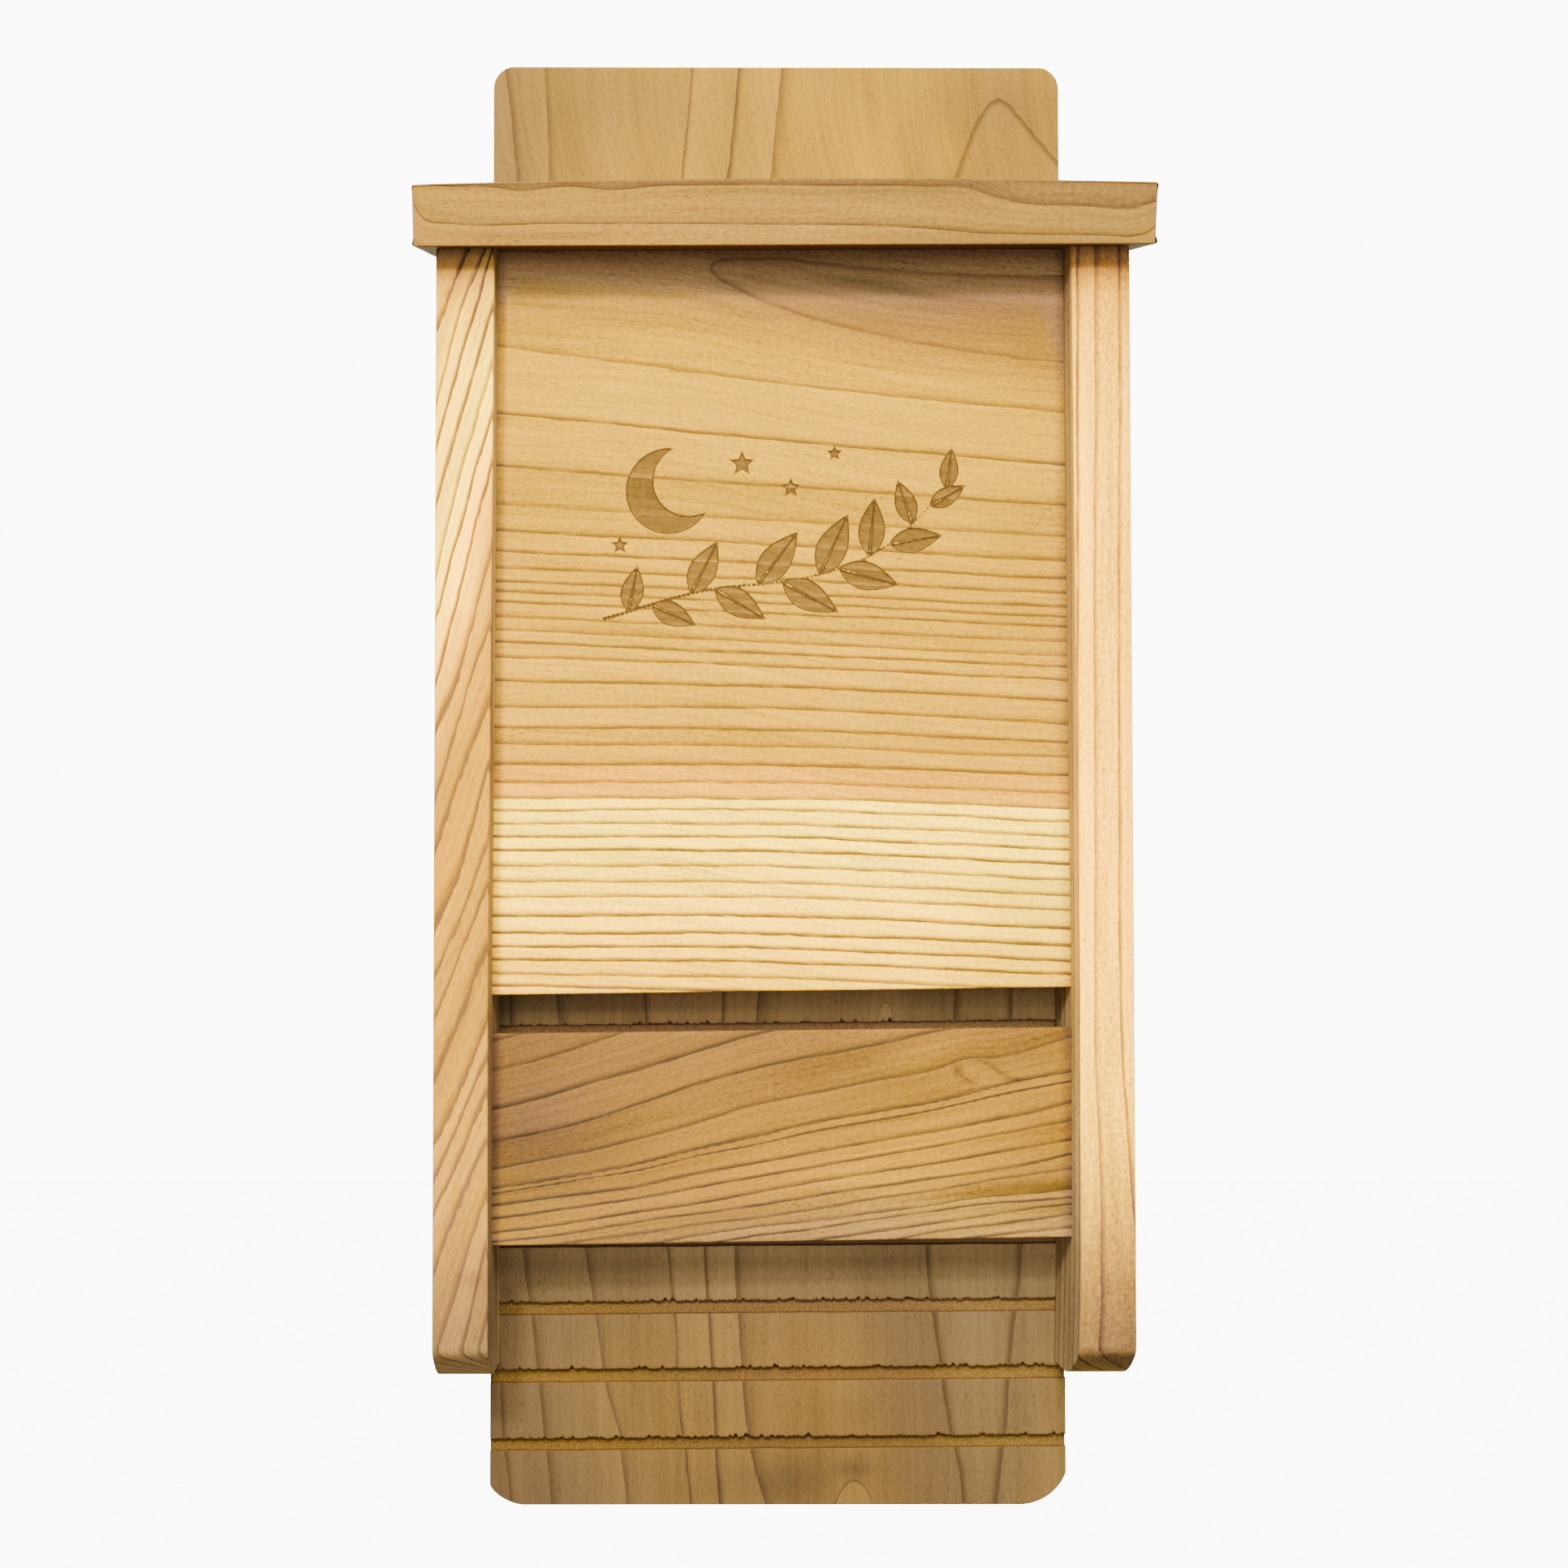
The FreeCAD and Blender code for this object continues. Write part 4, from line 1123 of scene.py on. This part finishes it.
def reckon(tree, operation, *values, clamp=False):
    node = tree.nodes.new("ShaderNodeMath")
    node.operation = operation
    node.use_clamp = clamp
    for socket, value in zip(node.inputs, values):
        feed(tree, socket, value)
    return node.outputs[0]


def times(tree, first, second, clamp=False):
    return reckon(tree, "MULTIPLY", first, second, clamp=clamp)


def plus(tree, first, second, clamp=False):
    return reckon(tree, "ADD", first, second, clamp=clamp)


def minus(tree, first, second):
    return reckon(tree, "SUBTRACT", first, second)


def smoothed(tree, value, low, high, start=0.0, end=1.0, kind="SMOOTHSTEP"):
    # start below low, end above high, and a soft step between them
    node = tree.nodes.new("ShaderNodeMapRange")
    node.interpolation_type = kind
    for socket, item in zip(node.inputs[:5], (value, low, high, start, end)):
        feed(tree, socket, item)
    return node.outputs[0]


def cloud(tree, vector, factors, detail=2.0, rough=0.55):
    # noise on the coordinates times the factors
    scaled = tree.nodes.new("ShaderNodeVectorMath")
    scaled.operation = "MULTIPLY"
    tree.links.new(vector, scaled.inputs[0])
    scaled.inputs[1].default_value = factors
    node = tree.nodes.new("ShaderNodeTexNoise")
    node.inputs["Scale"].default_value = 1.0
    node.inputs["Detail"].default_value = detail
    node.inputs["Roughness"].default_value = rough
    tree.links.new(scaled.outputs[0], node.inputs["Vector"])
    return node.outputs["Fac"]


def centred(tree, vector, factors, detail=2.0, rough=0.55):
    return minus(tree, cloud(tree, vector, factors, detail, rough), 0.5)


def blended(tree, factor, first, second, kind="MIX"):
    node = tree.nodes.new("ShaderNodeMix")
    node.data_type = "RGBA"
    node.blend_type = kind
    feed(tree, node.inputs[0], factor)
    feed(tree, node.inputs[6], first)
    feed(tree, node.inputs[7], second)
    return node.outputs[2]


def evenly(tree, value):
    # the same number in red, green and blue
    grey = tree.nodes.new("ShaderNodeCombineColor")
    for socket in grey.inputs:
        tree.links.new(value, socket)
    return grey.outputs[0]


def attribute(tree, name, vector=False):
    node = tree.nodes.new("ShaderNodeAttribute")
    node.attribute_name = name
    return node.outputs["Vector" if vector else "Fac"]


def newGroup(name, inputs, outputs):
    tree = bpy.data.node_groups.new(name, "ShaderNodeTree")
    for label, kind, value in inputs:
        socket = tree.interface.new_socket(name=label, in_out="INPUT", socket_type="NodeSocket" + kind)
        if value is not None:
            socket.default_value = value
    for label in outputs:
        tree.interface.new_socket(name=label, in_out="OUTPUT", socket_type="NodeSocketFloat")
    return tree, tree.nodes.new("NodeGroupInput").outputs, tree.nodes.new("NodeGroupOutput").inputs


def placeGroup(tree, group, values):
    node = tree.nodes.new("ShaderNodeGroup")
    node.node_tree = group
    for label, value in values.items():
        feed(tree, node.inputs[label], value)
    return node.outputs


def newMaterial(name):
    material = bpy.data.materials.new(name)
    material.use_nodes = True
    return material, material.node_tree, material.node_tree.nodes["Principled BSDF"].inputs


def srgb(red, green, blue):
    parts = [c / 255 for c in (red, green, blue)]
    return tuple(c / 12.92 if c < 0.04045 else ((c + 0.055) / 1.055)**2.4 for c in parts) + (1.0,)


def ringGroup():
    # ring lines: dark and sharp on the young side of each ring, fading in over the end of the ring before it
    tree, given, made = newGroup("growthRings", (
        ("Ring", "Float", 0.0), ("Gap", "Float", 5.0), ("Fibre", "Vector", None), ("Wander", "Float", 1.0),
        ("Width", "Float", 0.8), ("Fade", "Float", 0.3), ("Reach", "Float", 5.0)),
        ("Line", "Late", "Shade", "Number"))
    jitter = 0.0
    for factors, amount in (((0.018, 0.08, 0.08), 3.2), ((0.075, 0.2, 0.2), 1.9), ((0.35, 0.9, 0.9), 0.9)):
        jitter = reckon(tree, "MULTIPLY_ADD", centred(tree, given["Fibre"], factors, 1.5), amount, jitter)
    moved = reckon(tree, "DIVIDE", times(tree, jitter, given["Wander"]), given["Gap"])
    number = plus(tree, given["Ring"], moved)
    share = reckon(tree, "FRACT", number)
    toLine = times(tree, minus(tree, 1.0, share), given["Gap"])
    pastLine = times(tree, share, given["Gap"])
    before = smoothed(tree, toLine, 0.0, given["Width"], 1.0, 0.0)
    after = smoothed(tree, pastLine, 0.0, 0.5, 1.0, 0.0)
    whole = tree.nodes.new("ShaderNodeTexWhiteNoise")  # one random number for each ring
    whole.noise_dimensions = "1D"
    tree.links.new(reckon(tree, "FLOOR", number), whole.inputs["W"])
    strength = smoothed(tree, whole.outputs["Value"], 0.0, 1.0, 0.7, 1.25)
    patchy = smoothed(tree, cloud(tree, given["Fibre"], (0.06, 0.5, 0.5), 2.5), 0.3, 0.62, 0.5, 1.05)
    line = times(tree, reckon(tree, "MAXIMUM", before, after), times(tree, strength, patchy))
    far = reckon(tree, "MINIMUM", times(tree, given["Fade"], given["Gap"]), given["Reach"])
    rising = reckon(tree, "POWER", smoothed(tree, toLine, 0.0, far, 1.0, 0.0), 1.6)
    tree.links.new(line, made["Line"])
    tree.links.new(times(tree, rising, strength), made["Late"])
    tree.links.new(minus(tree, whole.outputs["Value"], 0.5), made["Shade"])
    tree.links.new(number, made["Number"])
    return tree


def fibreGroup():
    # fine fibres, short dark flecks and broad clouds, all drawn out along the grain
    tree, given, made = newGroup("fibres", (("Fibre", "Vector", None),),
                                 ("Fine", "Bands", "Fleck", "Cloud", "Grit"))
    vector = given["Fibre"]
    long = cloud(tree, vector, (0.05, 2.1, 2.1), 3.0, 0.6)
    short = cloud(tree, vector, (0.33, 5.5, 5.5), 2.0, 0.6)
    fine = plus(tree, times(tree, long, 0.6), times(tree, short, 0.4))
    dashes = smoothed(tree, cloud(tree, vector, (0.28, 1.6, 1.6), 1.5), 0.56, 0.74)
    where = smoothed(tree, cloud(tree, vector, (0.02, 0.12, 0.12), 1.0), 0.42, 0.62)
    tree.links.new(minus(tree, fine, 0.5), made["Fine"])
    tree.links.new(centred(tree, vector, (0.012, 0.42, 0.42)), made["Bands"])
    tree.links.new(times(tree, dashes, where), made["Fleck"])
    tree.links.new(centred(tree, vector, (0.009, 0.05, 0.05)), made["Cloud"])
    tree.links.new(centred(tree, vector, (0.5, 0.8, 0.8), 3.0, 0.7), made["Grit"])
    return tree


def burnGroup():
    # engraved ground: 1 inside the outline, and a narrow scorched rim along it
    tree, given, made = newGroup("engraving", (("Burn", "Float", 9.0), ("Rim", "Float", 0.55)),
                                 ("Inside", "Scorch"))
    low = smoothed(tree, given["Burn"], times(tree, given["Rim"], -1.0), -0.2)
    high = smoothed(tree, given["Burn"], 0.0, 0.3, 1.0, 0.0)
    tree.links.new(smoothed(tree, given["Burn"], -0.12, 0.06, 1.0, 0.0), made["Inside"])
    tree.links.new(times(tree, low, high), made["Scorch"])
    return tree


def ramp(tree, value, stops):
    # colour by ring number; a third value at a stop says how deep the late wood is there
    low, high = stops[0][0], stops[-1][0]
    node = tree.nodes.new("ShaderNodeValToRGB")
    tree.links.new(smoothed(tree, value, low, high, kind="LINEAR"), node.inputs["Fac"])
    bar = node.color_ramp
    for i, (at, colour, *depth) in enumerate(stops):
        place = (at - low) / (high - low)
        stop = bar.elements[i] if i < 2 else bar.elements.new(place)
        stop.position = place
        stop.color = srgb(*colour)[:3] + (depth[0] if depth else 0.5,)
    return node.outputs["Color"], node.outputs["Alpha"]


# the woods: their colours are (ring number, base colour in parts of 255, depth of the late wood), and
# a wood has the common values unless it gives its own

commonWood = {
    "shade": 0.22, "fine": 1.0, "bands": 0.7, "cloud": 0.5, "grit": 1.2, "reach": 5.0,
    "fleck": 0.8, "fleckTint": (0.5, 0.48, 0.9), "specular": 0.06, "specularTint": (1.0, 0.78, 0.5),
    "roughness": 0.68, "bump": 0.5, "bumpDepth": 0.18,
    # however it is shaded, the wood stays a warm brown: the most green for its red, and blue for its green
    "greenest": 0.72, "bluest": 0.62,
}
woods = {
    "backBoard": {
        "colours": (
            (0.0, (114, 88, 37), 0.9), (1.0, (109, 85, 42), 0.9), (1.45, (127, 99, 37), 0.9),
            (2.0, (127, 99, 37), 0.7), (4.0, (127, 98, 38)), (5.0, (119, 94, 45)), (6.0, (102, 81, 46)),
            (8.0, (98, 77, 45)),
        ),
        "lateTint": (0.4, 0.4, 0.4), "lineColour": (79, 59, 40), "late": 1.0, "line": 0.85, "width": 1.9,
        "fade": 0.3, "wander": 0.6, "cut": (116, 87, 30), "tornAndShade": (95, 66, 25), "fine": 0.35, "bands": 0.4,
        "grit": 0.7,
    },
    "upperFrontPanel": {
        "colours": (
            (0.0, (118, 90, 21), 0.3), (0.97, (119, 91, 21), 0.3), (1.0, (136, 104, 22), 0.4),
            (1.3, (142, 108, 22), 0.4), (1.75, (154, 119, 13), 0.35), (2.0, (152, 118, 13), 0.35),
            (3.0, (158, 122, 13), 0.35), (10.0, (162, 124, 13), 0.4), (14.9, (172, 132, 13)),
            (19.98, (168, 128, 13)), (20.02, (196, 141, 13)), (21.9, (201, 147, 13)),
            (22.0, (255, 217, 13), 1.0), (27.0, (255, 217, 13), 1.0), (29.5, (253, 208, 9), 1.0),
            (33.0, (238, 188, 7), 1.0), (36.0, (226, 175, 7), 1.0),
        ),
        "lateTint": (0.34, 0.26, 0.6), "lineColour": (94, 70, 19), "late": 0.9, "line": 1.0, "width": 1.8,
        "fade": 0.5, "reach": 4.5, "wander": 0.45, "engraved": (89, 67, 29), "engravedLine": (114, 88, 37),
        "scorch": (49, 35, 25),
    },
    "lowerFrontPanel": {
        "colours": (
            (0.0, (95, 69, 44)), (3.0, (103, 75, 41)), (6.0, (116, 85, 32)), (10.0, (122, 89, 30)),
            (13.0, (117, 89, 44)), (18.0, (122, 95, 51)),
        ),
        "lateTint": (0.4, 0.4, 0.6), "lineColour": (57, 45, 34), "late": 1.0, "line": 1.0, "width": 1.8,
        "fade": 0.3, "wander": 0.35, "cloud": 0.8,
    },
    "leftSideBoard": {
        "colours": (
            (0.0, (213, 164, 25), 1.0), (2.0, (233, 183, 25), 1.0), (5.5, (255, 215, 25), 1.0),
            (6.5, (251, 188, 25), 1.0), (7.6, (204, 149, 25), 1.0), (8.6, (176, 128, 25), 0.8),
            (10.0, (169, 121, 25), 0.8), (11.5, (185, 134, 25), 0.9), (14.0, (162, 119, 33), 0.9),
            (18.0, (163, 120, 36), 0.9), (30.0, (143, 105, 42), 0.9),
        ),
        "lateTint": (0.3, 0.24, 0.34), "lineColour": (106, 77, 46), "late": 1.0, "line": 1.0, "width": 2.2,
        "fade": 0.4, "wander": 1.2,
    },
    "rightSideBoard": {
        "colours": (
            (-2.0, (201, 148, 25)), (1.0, (247, 186, 25)), (3.0, (255, 194, 25)), (6.0, (206, 153, 25)),
        ),
        "lateTint": (0.4, 0.32, 0.5), "lineColour": (127, 88, 36), "late": 0.9, "line": 0.9, "width": 2.0,
        "fade": 0.3, "wander": 0.4, "fine": 1.5, "grit": 1.8,
    },
    "roofBoard": {
        "colours": (
            (-3.0, (124, 94, 44)), (0.3, (121, 91, 45)), (0.98, (104, 80, 45)), (1.0, (128, 98, 45)),
            (2.0, (124, 96, 45)), (4.0, (128, 98, 45)),
        ),
        "lateTint": (0.5, 0.47, 0.42), "lineColour": (68, 49, 33), "late": 1.0, "line": 0.95, "width": 1.2,
        "fade": 0.35, "wander": 0.2,
    },
}
rings, fibres, engraving = ringGroup(), fibreGroup(), burnGroup()


def plainWood(tree, plan, ring, thread):
    # colour by ring number, darkened by late wood and flecks; it also gives the grey that varies it
    colour, depth = ramp(tree, ring["Number"], plan["colours"])
    vary = plus(tree, 1.0, times(tree, ring["Shade"], plan["shade"]))
    for mask in ("Fine", "Bands", "Cloud", "Grit"):
        vary = plus(tree, vary, times(tree, thread[mask], plan[mask.lower()]))
    grey = evenly(tree, vary)
    colour = blended(tree, 1.0, colour, grey, "MULTIPLY")
    late = times(tree, times(tree, ring["Late"], plan["late"], clamp=True), depth)
    colour = blended(tree, late, colour, plan["lateTint"] + (1.0,), "MULTIPLY")
    fleck = times(tree, thread["Fleck"], plan["fleck"], clamp=True)
    return blended(tree, fleck, colour, plan["fleckTint"] + (1.0,), "MULTIPLY"), grey


def engravedWood(tree, plan, ring, grey, colour):
    # darker ground inside the motif, on which the rings still show, and a scorched rim
    burnt = placeGroup(tree, engraving, {"Burn": attribute(tree, "burn")})
    line = srgb(*plan["engravedLine"])
    ground = blended(tree, times(tree, ring["Line"], 0.7, clamp=True), srgb(*plan["engraved"]), line)
    ground = blended(tree, times(tree, ring["Late"], 0.35, clamp=True), ground, line)
    ground = blended(tree, 1.0, ground, grey, "MULTIPLY")
    colour = blended(tree, burnt["Inside"], colour, ground)
    return blended(tree, times(tree, burnt["Scorch"], 0.8, clamp=True), colour, srgb(*plan["scorch"]))


def sawnWood(tree, plan, fibre, colour):
    # speckled fresh wood in the kerfs, darker where its fibres are torn and where shadow is painted under
    # the upper lip and in the shadowed kerf
    speckle = smoothed(tree, cloud(tree, fibre, (1.3, 1.3, 1.3), 3.0, 0.7), 0.35, 0.66, 0.66, 1.36)
    fresh = blended(tree, 1.0, srgb(*plan["cut"]), evenly(tree, speckle), "MULTIPLY")
    colour = blended(tree, attribute(tree, "cut"), colour, fresh)
    return blended(tree, times(tree, attribute(tree, "tornAndShade"), 0.85, clamp=True), colour, srgb(*plan["tornAndShade"]))


def keptWarm(tree, plan, colour):
    # green is at most a share of red, and blue at most a share of green
    parts = tree.nodes.new("ShaderNodeSeparateColor")
    tree.links.new(colour, parts.inputs[0])
    red, green, blue = parts.outputs[:3]
    warm = tree.nodes.new("ShaderNodeCombineColor")
    tree.links.new(red, warm.inputs[0])
    tree.links.new(reckon(tree, "MINIMUM", green, times(tree, red, plan["greenest"])), warm.inputs[1])
    tree.links.new(reckon(tree, "MINIMUM", blue, times(tree, green, plan["bluest"])), warm.inputs[2])
    return warm.outputs[0]


def woodRelief(tree, plan, ring, thread):
    # ring lines and fibres stand a little proud, and flecks lie deeper
    relief = plus(tree, times(tree, ring["Line"], 0.55), times(tree, thread["Fine"], 0.9))
    relief = plus(tree, relief, times(tree, thread["Grit"], 0.5))
    relief = minus(tree, relief, times(tree, thread["Fleck"], 0.5))
    bump = tree.nodes.new("ShaderNodeBump")
    bump.inputs["Strength"].default_value = plan["bump"]
    bump.inputs["Distance"].default_value = plan["bumpDepth"] * mm
    tree.links.new(relief, bump.inputs["Height"])
    return bump.outputs["Normal"]


def cedar(name, wood):
    # plain wood under its ring lines, engraving and saw cuts, then multiplied by the vertices' painted shade
    # and tone, and darkened at cut ends
    plan = {**commonWood, **wood}
    material, tree, shader = newMaterial(name)
    shader["Specular IOR Level"].default_value = plan["specular"]
    shader["Specular Tint"].default_value = plan["specularTint"] + (1.0,)
    fibre = attribute(tree, "fibre", True)
    ring = placeGroup(tree, rings, {
        "Ring": attribute(tree, "ring"), "Gap": attribute(tree, "gap"), "Fibre": fibre,
        "Wander": plan["wander"], "Width": plan["width"], "Fade": plan["fade"], "Reach": plan["reach"]})
    thread = placeGroup(tree, fibres, {"Fibre": fibre})
    colour, grey = plainWood(tree, plan, ring, thread)
    lined = times(tree, ring["Line"], plan["line"], clamp=True)
    colour = blended(tree, lined, colour, srgb(*plan["lineColour"]))
    if "engraved" in plan:
        colour = engravedWood(tree, plan, ring, grey, colour)
    if "cut" in plan:
        colour = sawnWood(tree, plan, fibre, colour)
    # painted shade and tone from the vertices
    colour = blended(tree, 1.0, colour, attribute(tree, "paintedShadeAndTone", True), "MULTIPLY")
    colour = keptWarm(tree, plan, colour)
    pores = smoothed(tree, cloud(tree, fibre, (1.6, 1.6, 1.6), 3.0), 0.3, 0.7, 0.5, 1.0)
    cutEnd = times(tree, attribute(tree, "endGrain"), 0.8, clamp=True)
    colour = blended(tree, cutEnd, colour, evenly(tree, pores), "MULTIPLY")
    rough = plus(tree, plan["roughness"], times(tree, thread["Fine"], 0.3), clamp=True)
    tree.links.new(colour, shader["Base Color"])
    tree.links.new(rough, shader["Roughness"])
    tree.links.new(woodRelief(tree, plan, ring, thread), shader["Normal"])
    return material


steelPlan = {"bright": (196, 192, 184), "dull": (150, 146, 138), "smoothest": 0.28, "roughest": 0.46,
             "grain": 900}


def steel(plan):
    # plain metal that is duller in fine spots
    material, tree, shader = newMaterial("screwSteel")
    shader["Metallic"].default_value = 1.0
    place = tree.nodes.new("ShaderNodeTexCoord").outputs["Object"]
    dull = cloud(tree, place, (plan["grain"],) * 3, 3.0)
    tree.links.new(blended(tree, dull, srgb(*plan["bright"]), srgb(*plan["dull"])), shader["Base Color"])
    tree.links.new(smoothed(tree, dull, 0.3, 0.7, plan["smoothest"], plan["roughest"]), shader["Roughness"])
    return material


for piece in (backBoard, upperPanel, lowerPanel, leftSide, rightSide, roofBoard):
    piece.data.materials.append(cedar(piece.name + "Wood", woods[piece.name]))
steelFinish = steel(steelPlan)
for piece in screwPieces:
    piece.data.materials.append(steelFinish)
print("materials done")


# pale floor well below the box, near-white surroundings, one small lamp and two broad ones in front

studio = {
    "colour": (1.0, 0.88, 0.56),
    # room light from all round, from above, from behind the box and from both sides
    "fill": 0.3, "above": 1.6, "behind": 6.0, "beside": 1.5,
    # how bright the camera sees the surroundings and the floor
    "backdrop": 11.0, "glow": 10.0,
    "floorSize": 9.0, "floorHeight": -0.9, "floorGrey": 0.12,
}
lamps = {
    "key": {"place": (-0.32, -1.32, 0.51), "aim": (0, -0.05, 0.0), "size": 0.12, "watts": 24},
    "over": {"place": (0.0, -1.4, 0.82), "aim": (0, -0.05, 0.0), "size": 1.1, "watts": 95},
    "front": {"place": (-0.05, -1.8, -0.08), "aim": (0, -0.05, -0.08), "size": 0.7, "watts": 15},
}


def cameraSees(tree):
    return tree.nodes.new("ShaderNodeLightPath").outputs["Is Camera Ray"]


def makeFloor(plan):
    size, height = plan["floorSize"], plan["floorHeight"]
    mesh = bpy.data.meshes.new("studioFloor")
    corners = ((-1, -1), (1, -1), (1, 1), (-1, 1))
    mesh.from_pydata([(a * size, b * size, height) for a, b in corners], [], [(0, 1, 2, 3)])
    floor = bpy.data.objects.new("studioFloor", mesh)
    scene.collection.objects.link(floor)
    material, tree, shader = newMaterial("studioFloor")
    shader["Base Color"].default_value = (plan["floorGrey"],) * 3 + (1,)
    shader["Roughness"].default_value = 0.9
    shader["Emission Color"].default_value = (1, 1, 1, 1)
    tree.links.new(times(tree, cameraSees(tree), plan["glow"]), shader["Emission Strength"])
    mesh.materials.append(material)


def makeRoom(plan):
    # light by direction: a fill, and soft steps upwards, backwards and to both sides
    world = bpy.data.worlds.new("studio")
    scene.world = world
    world.use_nodes = True
    tree = world.node_tree
    air = tree.nodes["Background"].inputs
    way = tree.nodes.new("ShaderNodeSeparateXYZ")
    tree.links.new(tree.nodes.new("ShaderNodeTexCoord").outputs["Generated"], way.inputs[0])
    aside = reckon(tree, "ABSOLUTE", way.outputs["X"])
    light = plus(tree, plan["fill"], smoothed(tree, way.outputs["Z"], -0.1, 0.9, 0.0, plan["above"]))
    light = plus(tree, light, smoothed(tree, way.outputs["Y"], 0.05, 0.8, 0.0, plan["behind"]))
    light = plus(tree, light, smoothed(tree, aside, 0.5, 1.0, 0.0, plan["beside"]))
    seen = cameraSees(tree)
    light = reckon(tree, "MAXIMUM", light, times(tree, seen, plan["backdrop"]))
    tree.links.new(light, air["Strength"])
    tree.links.new(blended(tree, seen, plan["colour"] + (1.0,), (1.0, 1.0, 1.0, 1.0)), air["Color"])


def makeLamps(plan):
    for name, lamp in plan.items():
        light = bpy.data.lights.new(name, "AREA")
        light.shape = "DISK"
        light.size = lamp["size"]
        light.energy = lamp["watts"]
        light.color = studio["colour"]
        holder = bpy.data.objects.new(name, light)
        holder.location = lamp["place"]
        aim = np.array(lamp["aim"]) - np.array(lamp["place"])
        heading = math.atan2(-aim[0], aim[1])
        pitch = math.atan2(aim[2], math.hypot(aim[0], aim[1]))
        holder.rotation_euler = (math.pi / 2 + pitch, 0, heading)
        scene.collection.objects.link(holder)


makeFloor(studio)
makeRoom(studio)
makeLamps(lamps)
print("stage and light done")
